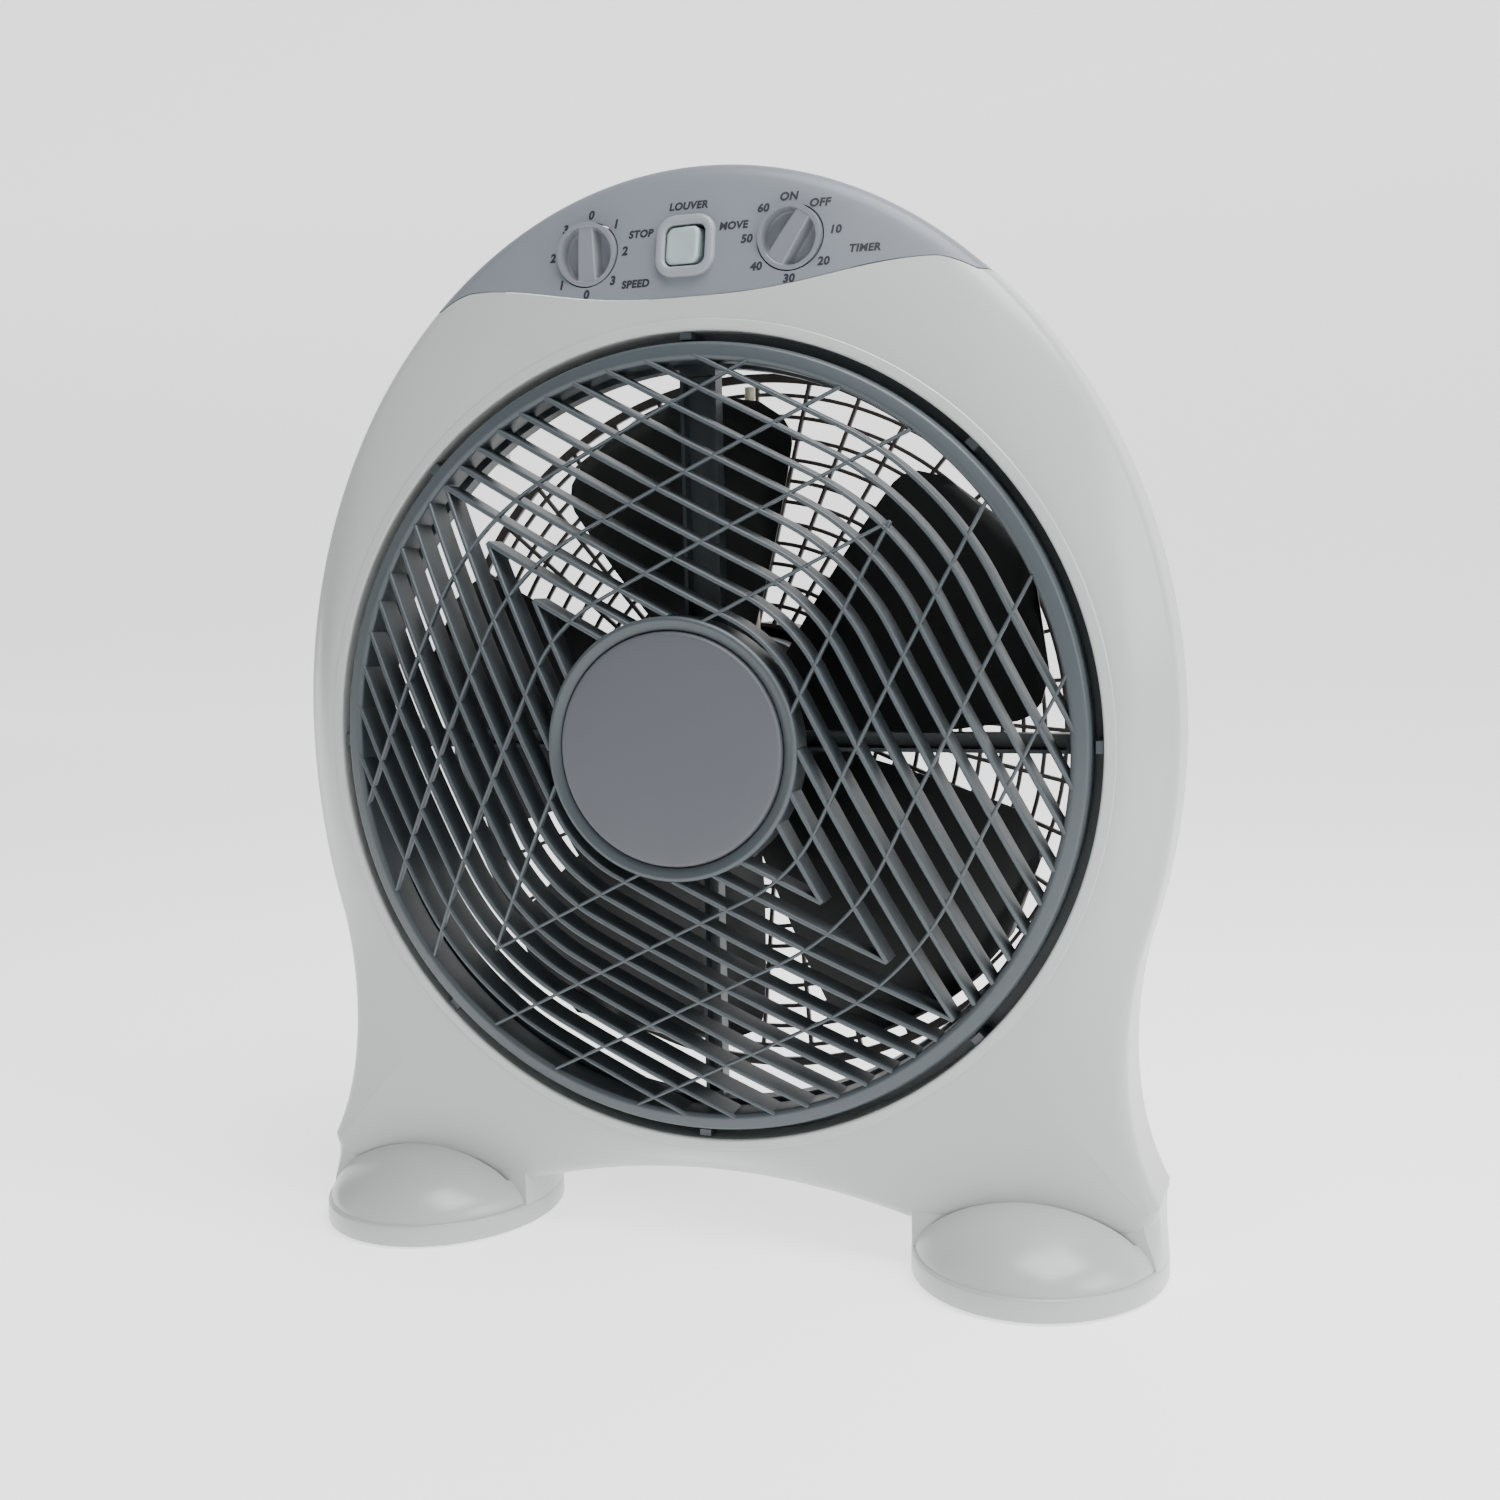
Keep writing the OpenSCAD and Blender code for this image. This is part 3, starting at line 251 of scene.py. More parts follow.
@dataclass
class Palette:
    """The fan's finishes, each made once."""

    shell: Finish = Finish("shell", (0.42, 0.445, 0.430), 0.30, coat=0.15, grain=0.6, relief=0.04,
                           mottle=0.008)
    panel: Finish = Finish("panel", (0.158, 0.176, 0.202), 0.42, grain=0.45, relief=0.10, mottle=0.015)
    bezel: Finish = Finish("panel", (0.23, 0.245, 0.268), 0.35, Surface.POLISHED, grain=0.8, relief=0.03)
    louver: Finish = Finish("louver", (0.048, 0.060, 0.068), 0.40, grain=0.5, relief=0.08, mottle=0.03,
                            dust=0.03)
    cap: Finish = Finish("cap", (0.074, 0.078, 0.092), 0.48, grain=0.4, relief=0.12, mottle=0.015)
    blade: Finish = Finish("blade", (0.005, 0.005, 0.006), 0.36, Surface.POLISHED, coat=0.05, relief=0.03)
    grille: Finish = Finish("grille", (0.030, 0.024, 0.022), 0.45, grain=0.5, relief=0.08, mottle=0.05)
    knob: Finish = Finish("knob", (0.165, 0.176, 0.202), 0.34, coat=0.15, grain=0.4, relief=0.05, mottle=0.02)
    button: Finish = Finish("button", (0.30, 0.38, 0.38), 0.40, grain=0.4, relief=0.05, mottle=0.02)
    rubber: Finish = Finish("rubber", (0.020, 0.020, 0.021), 0.75, Surface.RUBBER, grain=0.7, relief=0.25,
                            dust=0.1)
    print: Finish = Finish("dark_plastic", (0.012, 0.013, 0.018), 0.55, Surface.PRINTED, grain=0.3,
                           relief=0.02)
    steel: Finish = Finish("steel", (0.55, 0.56, 0.57), 0.28, Surface.MACHINED, 1.0, grain=0.25, relief=0.15)
    screw: Finish = Finish("zinc_screw", (0.62, 0.60, 0.52), 0.25, Surface.MACHINED, 1.0, grain=0.2,
                           relief=0.1)
    alloy: Finish = Finish("alloy", (0.50, 0.51, 0.52), 0.50, Surface.CAST, 1.0, grain=1.2, relief=0.3,
                           mottle=0.06)
    core: Finish = Finish("lamination", (0.20, 0.20, 0.21), 0.40, Surface.STACKED, 0.8, grain=0.5, relief=0.6)
    copper: Finish = Finish("copper", (0.52, 0.17, 0.06), 0.30, Surface.WOUND, 0.9, grain=0.5, relief=0.8)
    bronze: Finish = Finish("bronze", (0.50, 0.34, 0.13), 0.45, Surface.CAST, 1.0, grain=0.3, relief=0.1)
    dark: Finish = Finish("dark_plastic", (0.025, 0.026, 0.028), 0.50, grain=0.5, relief=0.1)
    cream: Finish = Finish("cream_plastic", (0.66, 0.62, 0.50), 0.50, grain=0.5, relief=0.08)
    made: dict[Finish, bpy.types.Material] = field(default_factory=dict)

    def get(self, finish: Finish) -> bpy.types.Material:
        """Returns the material of a finish, making it the first time."""
        if finish not in self.made:
            self.made[finish] = finish.material(f"{finish.slot}_finish_{len(self.made)}")
        return self.made[finish]


PALETTE = Palette()


# ---- mesh helpers --------------------------------------------------------------------------
def loft(rings: Sequence[Sequence[Vector]], loop: bool = True, caps: bool = False) -> Mesh:
    """Joins rings of equal length with quads.

    Args:
        rings: closed rings of points.
        loop: True joins the last ring back to the first.
        caps: True closes the first and the last ring with a face each.

    Returns:
        Vertices and faces.
    """
    size = len(rings[0])
    verts = [point for ring in rings for point in ring]
    faces: list[tuple[int, ...]] = []
    for j in range(len(rings) if loop else len(rings) - 1):
        k = (j + 1) % len(rings)
        for i in range(size):
            n = (i + 1) % size
            faces.append((j * size + i, j * size + n, k * size + n, k * size + i))
    if caps:
        faces.append(tuple(range(size)))
        faces.append(tuple((len(rings) - 1) * size + i for i in range(size)))
    return verts, faces


def merged(meshes: Iterable[Mesh]) -> Mesh:
    """Puts several meshes into one vertex and face list.

    Args:
        meshes: the meshes to join.

    Returns:
        Vertices and faces.
    """
    verts: list[Vector] = []
    faces: list[tuple[int, ...]] = []
    for more_verts, more_faces in meshes:
        shift = len(verts)
        verts.extend(more_verts)
        faces.extend(tuple(i + shift for i in face) for face in more_faces)
    return verts, faces


def fillet(points: Sequence[Pair], radius: float, steps: int = 4) -> list[Pair]:
    """Rounds the corners of a closed outline, except those on its axis.

    Args:
        points: corners as (across, along), where across 0 is the axis.
        radius: how far back from a corner its rounding starts.
        steps: segments of each rounding.

    Returns:
        The rounded outline.
    """
    rounded: list[Pair] = []
    for k, corner in enumerate(points):
        here = Vector(corner)
        if here.x < 1e-6:
            rounded.append(corner)
            continue
        before = Vector(points[k - 1]) - here
        after = Vector(points[(k + 1) % len(points)]) - here
        first = here + before * min(radius / before.length, 0.45)
        last = here + after * min(radius / after.length, 0.45)
        for s in range(steps + 1):
            t = s / steps
            point = (1 - t) ** 2 * first + 2 * t * (1 - t) * here + t * t * last
            rounded.append((point.x, point.y))
    return rounded


def bezier(a: Pair, b: Pair, c: Pair, d: Pair, steps: int) -> list[Pair]:
    """Samples a cubic curve, its first point left out.

    Args:
        a: start, which is left out.
        b: first control point.
        c: second control point.
        d: end.
        steps: number of samples.

    Returns:
        The samples up to the end.
    """
    found = []
    for k in range(1, steps + 1):
        t = k / steps
        w = ((1 - t) ** 3, 3 * t * (1 - t) ** 2, 3 * t * t * (1 - t), t ** 3)
        found.append((sum(q * p[0] for q, p in zip(w, (a, b, c, d))),
                      sum(q * p[1] for q, p in zip(w, (a, b, c, d)))))
    return found


def rounded_rectangle(width: float, height: float, radius: float, steps: int = 8) -> list[Pair]:
    """Corner points of a rectangle with round corners, counter-clockwise about its middle.

    Args:
        width: full width.
        height: full height.
        radius: radius of the corners.
        steps: segments of each corner.

    Returns:
        The outline.
    """
    points = []
    for k, (sx, sz) in enumerate(((1, 1), (-1, 1), (-1, -1), (1, -1))):
        for s in range(steps + 1):
            a = math.radians(90 * (k + s / steps))
            points.append((sx * (width / 2 - radius) + radius * math.cos(a),
                           sz * (height / 2 - radius) + radius * math.sin(a)))
    return points


@dataclass(frozen=True)
class Layout:
    """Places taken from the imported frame, in millimetres."""

    rim_y: float
    parting: float
    back: float
    ring_z: float
    louver_r: float
    open_r: float
    head_a: float
    top_z: float
    leg_z: float
    panel: float
    panel_z: float
    knob_x: float
    knob_r: float
    bezel: float
    button: float
    blade_r: float
    duct_r: float
    hub_front: float
    cap_r: float
    foot_x: float

    @staticmethod
    def from_frame() -> "Layout":
        """Reads the layout from the boxes of the CAD nodes.

        Returns:
            The layout.
        """
        def low(node: str) -> Vector:
            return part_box(node)[0] / MM

        def high(node: str) -> Vector:
            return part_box(node)[1] / MM

        rim_y = low("front_shell").y
        duct_gap = 6.0
        return Layout(
            rim_y=rim_y,
            parting=high("front_shell").y - rim_y,
            back=high("rear_shell").y - rim_y,
            ring_z=(low("louver_grille").z + high("louver_grille").z) / 2,
            louver_r=high("louver_grille").x,
            open_r=high("spider_frame").x - 4,
            head_a=high("rear_shell").x,
            top_z=high("rear_shell").z,
            leg_z=low("rear_shell").z,
            panel=low("control_panel").y - rim_y,
            panel_z=(low("rocker_bezel").z + high("rocker_bezel").z) / 2,
            knob_x=(low("timer_knob").x + high("timer_knob").x) / 2,
            knob_r=(high("speed_knob").x - low("speed_knob").x) / 2,
            bezel=2 * high("rocker_bezel").x,
            button=high("rocker_button").z - low("rocker_button").z - 2,
            blade_r=high("rear_grille").x + 0.2 - 5 - duct_gap,
            duct_r=high("rear_grille").x + 0.2 - 5,
            hub_front=low("louver_grille").y - rim_y + 1,
            cap_r=high("louver_cap").x,
            foot_x=(low("foot_right").x + high("foot_right").x) / 2,
        )

    def at(self, x: float, z: float, depth: float) -> Vector:
        """The point in metres at x, z and a depth behind the rim."""
        return Vector((x * MM, (self.rim_y + depth) * MM, z * MM))

    def turned(self, profile: Sequence[Pair], steps: int = 128, x: float = 0.0,
               z: float | None = None) -> Mesh:
        """Turns a closed outline of (radius, depth) points about an axis along Y.

        Args:
            profile: the outline.
            steps: segments round the axis.
            x: place of the axis.
            z: height of the axis, or None for the fan's own.

        Returns:
            Vertices and faces.
        """
        high = self.ring_z if z is None else z
        rings = []
        for r, depth in profile:
            rings.append([self.at(x + r * math.cos(2 * math.pi * k / steps),
                                  high + r * math.sin(2 * math.pi * k / steps), depth) for k in range(steps)])
        return loft(rings)

    def stacked(self, sections: Sequence[tuple[list[Pair], float]], x: float, z: float,
                caps: bool = True) -> Mesh:
        """Joins outlines that stand at depths along Y, round the point x, z."""
        rings = [[self.at(x + px, z + pz, depth) for px, pz in outline] for outline, depth in sections]
        return loft(rings, loop=not caps, caps=caps)


def placed(name: str, mesh: Mesh, finish: Finish, body: str, stands_for: Sequence[str] = (),
           sharp: float = 38.0) -> bpy.types.Object:
    """Makes a piece from a mesh, dresses it and lets it ride on a CAD body.

    Args:
        name: the piece's name.
        mesh: vertices and faces.
        finish: its finish.
        body: the CAD body that it moves with.
        stands_for: the CAD nodes that it replaces.
        sharp: edges that turn by more than this many degrees stay sharp.

    Returns:
        The new object.
    """
    data = bpy.data.meshes.new(name)
    data.from_pydata([tuple(v) for v in mesh[0]], [], [f for f in mesh[1]])
    work = bmesh.new()
    work.from_mesh(data)
    bmesh.ops.remove_doubles(work, verts=work.verts, dist=1e-6)
    bmesh.ops.dissolve_degenerate(work, edges=work.edges, dist=1e-7)
    bmesh.ops.recalc_face_normals(work, faces=work.faces)
    work.to_mesh(data)
    work.free()
    piece = bpy.data.objects.new(name, data)
    bpy.context.scene.collection.objects.link(piece)
    return dressed(piece, finish, body, stands_for, sharp)


def dressed(piece: bpy.types.Object, finish: Finish, body: str, stands_for: Sequence[str] = (),
            sharp: float = 38.0) -> bpy.types.Object:
    """Shades a piece, gives it its finish and its body, and reports it.

    Args:
        piece: the piece.
        finish: its finish.
        body: the CAD body that it moves with.
        stands_for: the CAD nodes that it replaces.
        sharp: edges that turn by more than this many degrees stay sharp.

    Returns:
        The same piece.
    """
    piece.data.shade_smooth()
    piece.data.set_sharp_from_angle(angle=math.radians(sharp))
    piece.data.materials.clear()
    piece.data.materials.append(PALETTE.get(finish))
    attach(piece, body)
    if stands_for:
        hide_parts(*stands_for)
    LOG.info("%s: %d faces on %s", piece.name, len(piece.data.polygons), body)
    return piece


def carved(piece: bpy.types.Object, cutters: Iterable[Mesh], sharp: float = 38.0) -> bpy.types.Object:
    """Cuts closed meshes out of a piece.

    Args:
        piece: the piece, changed in place.
        cutters: closed meshes that don't touch each other.
        sharp: edges that turn by more than this many degrees stay sharp.

    Returns:
        The same piece.
    """
    verts, faces = merged(cutters)
    data = bpy.data.meshes.new("cutter")
    data.from_pydata([tuple(v) for v in verts], [], faces)
    work = bmesh.new()
    work.from_mesh(data)
    bmesh.ops.recalc_face_normals(work, faces=work.faces)
    work.to_mesh(data)
    work.free()
    cutter = bpy.data.objects.new("cutter", data)
    bpy.context.scene.collection.objects.link(cutter)
    cut = piece.modifiers.new("cut", "BOOLEAN")
    cut.operation = "DIFFERENCE"
    cut.solver = "EXACT"
    cut.object = cutter
    seen = piece.evaluated_get(bpy.context.evaluated_depsgraph_get())
    result = bpy.data.meshes.new_from_object(seen)
    piece.modifiers.clear()
    piece.data = result
    bpy.data.objects.remove(cutter)
    piece.data.shade_smooth()
    piece.data.set_sharp_from_angle(angle=math.radians(sharp))
    return piece


# ---- housing -------------------------------------------------------------------------------
@dataclass
class BodyOutline:
    """The outline of the fan's body seen from the front, and rings that follow it.

    Attributes:
        layout: places from the frame.
        head_rise: the middle of the head's arc above the opening's centre.
        head_end: how far round the arc runs on each side, in degrees.
        waist_pull: how far the arc's line runs on before the waist.
        waist_in: the waist's control point in from the widest line.
        waist_z: height of that control point.
        leg_in: the leg's side in from the widest line.
        leg_corner: radius of the leg's corner.
        arch_z: height of the arch between the feet.
        arch_bend: how fast the arch drops with distance from the middle.
        edge_inset: distance of the front face's crease from the outline.
        points: the outline, clockwise from the top.
        inward: a unit vector into the body at each point.
        crease: angle from upright and radius of the crease on the right half.
    """

    layout: Layout
    head_rise: float = 4.4
    head_end: float = 111.0
    waist_pull: float = 20.0
    waist_in: float = 27.0
    waist_z: float = 72.0
    leg_in: float = 7.0
    leg_corner: float = 14.0
    arch_z: float = 33.0
    arch_bend: float = 0.0016
    edge_inset: float = 6.0
    points: list[Vector] = field(default_factory=list)
    inward: list[Vector] = field(default_factory=list)
    crease: list[Pair] = field(default_factory=list)

    def __post_init__(self) -> None:
        """Works the outline out."""
        half = self._half()
        mirror = [(-x, z) for x, z in reversed(half[1:-1])]
        self.points = [Vector(p) for p in half + mirror]
        count = len(self.points)
        for i in range(count):
            along = (self.points[(i + 1) % count] - self.points[i - 1]).normalized()
            self.inward.append(Vector((along.y, -along.x)))
        for p, n in zip(self.points[:len(half)], self.inward):
            way = p + self.edge_inset * n - Vector((0, self.layout.ring_z))
            self.crease.append((math.atan2(way.x, way.y), way.length))

    def _half(self) -> list[Pair]:
        """The right half, from the top of the head to the middle of the arch.

        Returns:
            Points as x and z.
        """
        lay = self.layout
        a, b = lay.head_a, lay.top_z - lay.ring_z - self.head_rise
        middle = lay.ring_z + self.head_rise
        head = [math.radians(self.head_end * k / 110) for k in range(111)]
        half = [(a * math.sin(t), middle + b * math.cos(t)) for t in head]
        end = head[-1]
        way = Vector((a * math.cos(end), -b * math.sin(end))).normalized()
        tip = half[-1]
        leg = (a - self.leg_in, lay.leg_z + self.leg_corner)
        half += bezier(tip, (tip[0] + self.waist_pull * way.x, tip[1] + self.waist_pull * way.y),
                       (a - self.waist_in, self.waist_z), leg, 36)
        for k in range(1, 13):
            t = math.radians(90 * k / 12)
            half.append((leg[0] + self.leg_corner * (math.cos(t) - 1),
                         leg[1] - self.leg_corner * math.sin(t)))
        arch_x = math.sqrt((self.arch_z - lay.leg_z) / self.arch_bend)
        start = half[-1][0]
        half += [(start + (arch_x - start) * k / 18, lay.leg_z) for k in range(1, 19)]
        for k in range(1, 25):
            x = arch_x * (1 - k / 24)
            half.append((x, self.arch_z - self.arch_bend * x * x))
        return half

    def crease_radius(self, angle: float) -> float:
        """How far the crease is from the opening's centre, at an angle from upright in radians."""
        k = min(max(bisect(self.crease, (abs(angle), 0)), 1), len(self.crease) - 1)
        (a0, r0), (a1, r1) = self.crease[k - 1], self.crease[k]
        return r0 + (r1 - r0) * (abs(angle) - a0) / (a1 - a0)

    def inset(self, step: float, depth: float | Callable[[float], float]) -> list[Vector]:
        """A ring that lies step inside the outline, at a depth or at a depth by height.

        Args:
            step: distance inside the outline.
            depth: depth behind the rim, or a depth for each height.

        Returns:
            The ring.
        """
        ring = []
        for p, n in zip(self.points, self.inward):
            q = p + step * n
            ring.append(self.layout.at(q.x, q.y, depth(p.y) if callable(depth) else depth))
        return ring

    def circle(self, radius: float, depth: float) -> list[Vector]:
        """A ring on a circle about the opening, one point for each outline point.

        Args:
            radius: radius of the circle.
            depth: depth behind the rim.

        Returns:
            The ring.
        """
        centre = Vector((0, self.layout.ring_z))
        ring = []
        for p in self.points:
            q = centre + radius * (p - centre).normalized()
            ring.append(self.layout.at(q.x, q.y, depth))
        return ring


@dataclass
class Seam:
    """The line where the front shell ends and the control panel starts.

    Attributes:
        low: height at the middle.
        hump_x: where the line is highest.
        rise: how far it has risen there.
        end_x: where it reaches the body's edge.
        end_rise: how far it stands above its middle at the edge.
    """

    low: float
    hump_x: float = 102.0
    rise: float = 10.0
    end_x: float = 119.0
    end_rise: float = 4.0

    def height(self, x: float) -> float:
        """Height of the seam at x."""
        u = min(abs(x) / self.hump_x, 1)
        v = min(max(abs(x) - self.hump_x, 0) / (self.end_x - self.hump_x), 1)
        climb = self.rise * ((1 - math.cos(math.pi * u)) / 2) ** 1.6
        return self.low + climb - (self.rise - self.end_rise) * v ** 1.6

    def clip(self, mesh: Mesh, keep_above: bool, gap: float) -> Mesh:
        """Keeps the part of a closed mesh on one side of the seam, and closes the cut.

        Args:
            mesh: vertices and faces, in metres.
            keep_above: True keeps what is over the seam.
            gap: distance from the seam, towards the kept side.

        Returns:
            The closed remainder.
        """
        work = bmesh.new()
        verts = [work.verts.new(v) for v in mesh[0]]
        for f in mesh[1]:
            if len(set(f)) > 2:
                work.faces.new([verts[i] for i in f])
        bmesh.ops.remove_doubles(work, verts=work.verts, dist=1e-6)
        bmesh.ops.recalc_face_normals(work, faces=work.faces)
        shift = gap if keep_above else -gap
        for v in work.verts:
            v.co.z -= (self.height(v.co.x / MM) + shift) * MM
        normal = Vector((0, 0, -1 if keep_above else 1))
        geometry = work.verts[:] + work.edges[:] + work.faces[:]
        bmesh.ops.bisect_plane(work, geom=geometry, plane_co=Vector(), plane_no=normal, dist=1e-7,
                               clear_outer=True)
        rim = [e for e in work.edges if e.is_boundary]
        closed = bmesh.ops.holes_fill(work, edges=rim, sides=0)
        bmesh.ops.triangulate(work, faces=closed["faces"])
        for v in work.verts:
            v.co.z += (self.height(v.co.x / MM) + shift) * MM
        work.verts.index_update()
        result = ([v.co.copy() for v in work.verts], [tuple(v.index for v in f.verts) for f in work.faces])
        work.free()
        return result


@dataclass
class Housing:
    """The two shells, the control panel, the feet and the small parts of the back.

    Attributes:
        layout: places from the frame.
        outline: the body's outline.
        seam: the line under the control panel.
        wall: thickness of the shells.
        rim_bevel: width of the rounded edge of the opening.
        rim_ease: how far that edge rolls back.
        low_flat: share of the fall that is missing at the legs.
        edge_drop: depth over which the face rolls into the flank.
        lip: depth of the wall inside the opening.
        foot_wall: height of a foot's upright wall.
        foot_rise: how far a foot's dome would rise over that wall.
        boss_angles: places of the case screws round the opening, in degrees.
    """

    layout: Layout
    outline: BodyOutline
    seam: Seam
    wall: float = 2.5
    rim_bevel: float = 5.0
    rim_ease: float = 1.5
    low_flat: float = 0.5
    edge_drop: float = 7.0
    lip: float = 15.0
    foot_wall: float = 9.5
    foot_rise: float = 26.0
    boss_angles: tuple[int, ...] = (45, 135, 0, 180, -45, -135)

    def build(self) -> None:
        """Builds every piece of the housing."""
        self.front_shell()
        self.control_panel()
        self.rear_shell()
        self.grip_cup()
        self.cord_gland()
        for side, name in ((-1, "left"), (1, "right")):
            self.foot(side, name)
        self.pads()

    def _crease_depth(self, z: float) -> float:
        """Depth of the front face at its crease, at height z."""
        lay = self.layout
        t = min(max((lay.ring_z - z) / (lay.ring_z - lay.leg_z), 0), 1)
        return (lay.panel - 0.3) * (1 - self.low_flat * t * t * (3 - 2 * t))

    def _face_ring(self, f: float, back: float = 0.0) -> list[Vector]:
        """A ring of the front face, f of the way from the rim to the crease.

        Args:
            f: share of the way to the crease.
            back: depth added to the skin's.

        Returns:
            The ring.
        """
        lay = self.layout
        centre = Vector((0, lay.ring_z))
        ring = []
        for p, n in zip(self.outline.points, self.outline.inward):
            start = centre + (lay.open_r + self.rim_bevel) * (p - centre).normalized()
            q = start.lerp(p + self.outline.edge_inset * n, f)
            depth = self.rim_ease + (self._crease_depth(q.y) - self.rim_ease) * f ** 1.5
            ring.append(lay.at(q.x, q.y, depth + back))
        return ring

    def _roll(self, steps: int = 8) -> list[list[Vector]]:
        """Rings of the rounded edge between the front face and the flank.

        Args:
            steps: number of rings.

        Returns:
            The rings, from the face to the flank.
        """
        lay = self.layout
        centre = Vector((0, lay.ring_z))
        rings: list[list[Vector]] = [[] for _ in range(steps)]
        for p, n in zip(self.outline.points, self.outline.inward):
            crease = p + self.outline.edge_inset * n
            span = (crease - centre).length - lay.open_r - self.rim_bevel
            depth = self._crease_depth(p.y)
            slope = 1.5 * (depth - self.rim_ease) / max(span, 1) + 0.12
            lead = min(self.outline.edge_inset * 0.5, self.edge_drop * 0.6 / slope)
            path = bezier((self.outline.edge_inset, depth),
                          (self.outline.edge_inset - lead, depth + lead * slope),
                          (0, depth + self.edge_drop * 0.45), (0, depth + self.edge_drop + 2), steps)
            for ring, (step, d) in zip(rings, path):
                q = p + step * n
                ring.append(lay.at(q.x, q.y, d))
        return rings

    def _front_rings(self) -> list[list[Vector]]:
        """Rings of the whole front skin: lip, opening's edge, face, rolled border, flank and inside.

        Returns:
            The rings in order, from the lip round to the lip.
        """
        lay, line = self.layout, self.outline
        bevel = fillet([(lay.open_r, self.lip / 2), (lay.open_r, 0),
                        (lay.open_r + self.rim_bevel, self.rim_ease * 0.7),
                        (lay.open_r + 2 * self.rim_bevel, self.rim_ease)], 1.6, 6)[7:21]
        rings = [line.circle(lay.open_r, self.lip), line.circle(lay.open_r, self.lip / 2)]
        rings += [line.circle(r, d) for r, d in bevel if r < lay.open_r + self.rim_bevel - 0.3]
        rings += [self._face_ring(k / 16) for k in range(17)]
        rings += self._roll()
        rings += [line.inset(0, d) for d in (lay.parting * 0.6, lay.parting * 0.8, lay.parting - 0.5)]
        rings += [line.inset(0.5, lay.parting), line.inset(self.wall, lay.parting)]
        inner = self.edge_drop + 3
        rings.append(line.inset(self.wall, lambda z: self._crease_depth(z) + inner))
        rings.append(self._face_ring(0.96, self.wall + 1))
        rings += [self._face_ring(f, self.wall) for f in (0.75, 0.5, 0.25)]
        rings.append(line.circle(lay.open_r + self.rim_bevel, self.rim_ease + self.wall))
        rings.append(line.circle(lay.open_r + self.wall, self.lip))
        return rings

    def front_shell(self) -> None:
        """The white front shell, cut off along the seam."""
        shell = self.seam.clip(loft(self._front_rings()), keep_above=False, gap=0.0)
        placed("front_shell_moulding", shell, PALETTE.shell, "housing", ["front_shell"], 30)

    def skin_depth(self, x: float, z: float) -> float:
        """Depth of the front face at a point between the opening and the crease.

        Args:
            x: place across the fan.
            z: height.

        Returns:
            Depth behind the rim, in millimetres.
        """
        lay = self.layout
        up = z - lay.ring_z
        first = lay.open_r + self.rim_bevel
        f = (math.hypot(x, up) - first) / (self.outline.crease_radius(math.atan2(x, up)) - first)
        return self.rim_ease + (self._crease_depth(z) - self.rim_ease) * min(max(f, 0), 1) ** 1.5

    def control_panel(self) -> None:
        """The grey panel: the head of the front skin over the seam, with the wells of the controls."""
        lay = self.layout
        body = self.seam.clip(loft(self._front_rings()), keep_above=True, gap=0.5)
        piece = placed("control_panel_moulding", body, PALETTE.panel, "housing", ["control_panel"], 22)
        well_r = lay.knob_r + 0.6
        holes = [lay.turned([(0, -2), (well_r, -2), (well_r, lay.panel + 4), (0, lay.panel + 4)], 96, x,
                            lay.panel_z)
                 for x in (-lay.knob_x, lay.knob_x)]
        gate = rounded_rectangle(lay.bezel - 4, lay.bezel - 4, 6)
        holes.append(lay.stacked([(gate, -2), (gate, lay.panel + 4)], 0, lay.panel_z))
        carved(piece, holes, 22)
        placed("control_panel_collars", merged(self._collar(x, well_r) for x in (-lay.knob_x, lay.knob_x)),
               PALETTE.panel, "housing")

    def _collar(self, x: float, radius: float) -> Mesh:
        """The tube behind the skin that a knob turns in.

        Args:
            x: place of its axis.
            radius: its inner radius.

        Returns:
            Vertices and faces.
        """
        lay = self.layout
        rings = []
        for r, fixed in ((radius, None), (radius + 1.6, None), (radius + 1.6, lay.panel + 4.4),
                         (radius, lay.panel + 4.4)):
            ring = []
            for k in range(96):
                a = 2 * math.pi * k / 96
                px, pz = x + r * math.cos(a), lay.panel_z + r * math.sin(a)
                ring.append(lay.at(px, pz, self.skin_depth(px, pz) + 1.2 if fixed is None else fixed))
            rings.append(ring)
        return loft(rings)

    def rear_shell(self) -> None:
        """The white rear shell with its duct, screw wells, grip opening and cord hole."""
        lay, line = self.layout, self.outline
        back, seat = lay.back, lay.back - 4
        outer_r, inner_r = lay.duct_r + 5, lay.duct_r
        skin = bezier((0.0, lay.parting + 0.8), (0.3, back - 14), (2.5, back), (12, back), 14)
        rings = [line.inset(self.wall, lay.parting + 0.3), line.inset(0.5, lay.parting + 0.3),
                 line.inset(0, lay.parting + 0.8)]
        rings += [line.inset(s, d) for s, d in skin]
        rings += [line.circle(outer_r + 0.6, back), line.circle(outer_r, back - 0.6),
                  line.circle(outer_r, seat),
                  line.circle(inner_r, seat), line.circle(inner_r, self.lip + 8)]
        rings += [line.circle(inner_r + 2, self.lip + 8), line.circle(inner_r + 2, seat - self.wall),
                  line.circle(outer_r + self.wall, seat - self.wall),
                  line.circle(outer_r + self.wall, back - self.wall),
                  line.inset(13, back - self.wall), line.inset(3 + self.wall, back - 10)]
        shell = placed("rear_shell_moulding", loft(rings), PALETTE.shell, "housing", ["rear_shell"], 30)
        wells = []
        for p in self.screw_places():
            wells.append(lay.turned(fillet([(0, lay.parting + 10), (3.4, lay.parting + 10), (3.4, back + 2),
                                            (0, back + 2)], 0.2, 1), 32, p.x, p.y))
        grip = rounded_rectangle(84.6, 26.6, 6)
        gland_low, gland_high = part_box("cord_gland")[0] / MM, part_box("cord_gland")[1] / MM
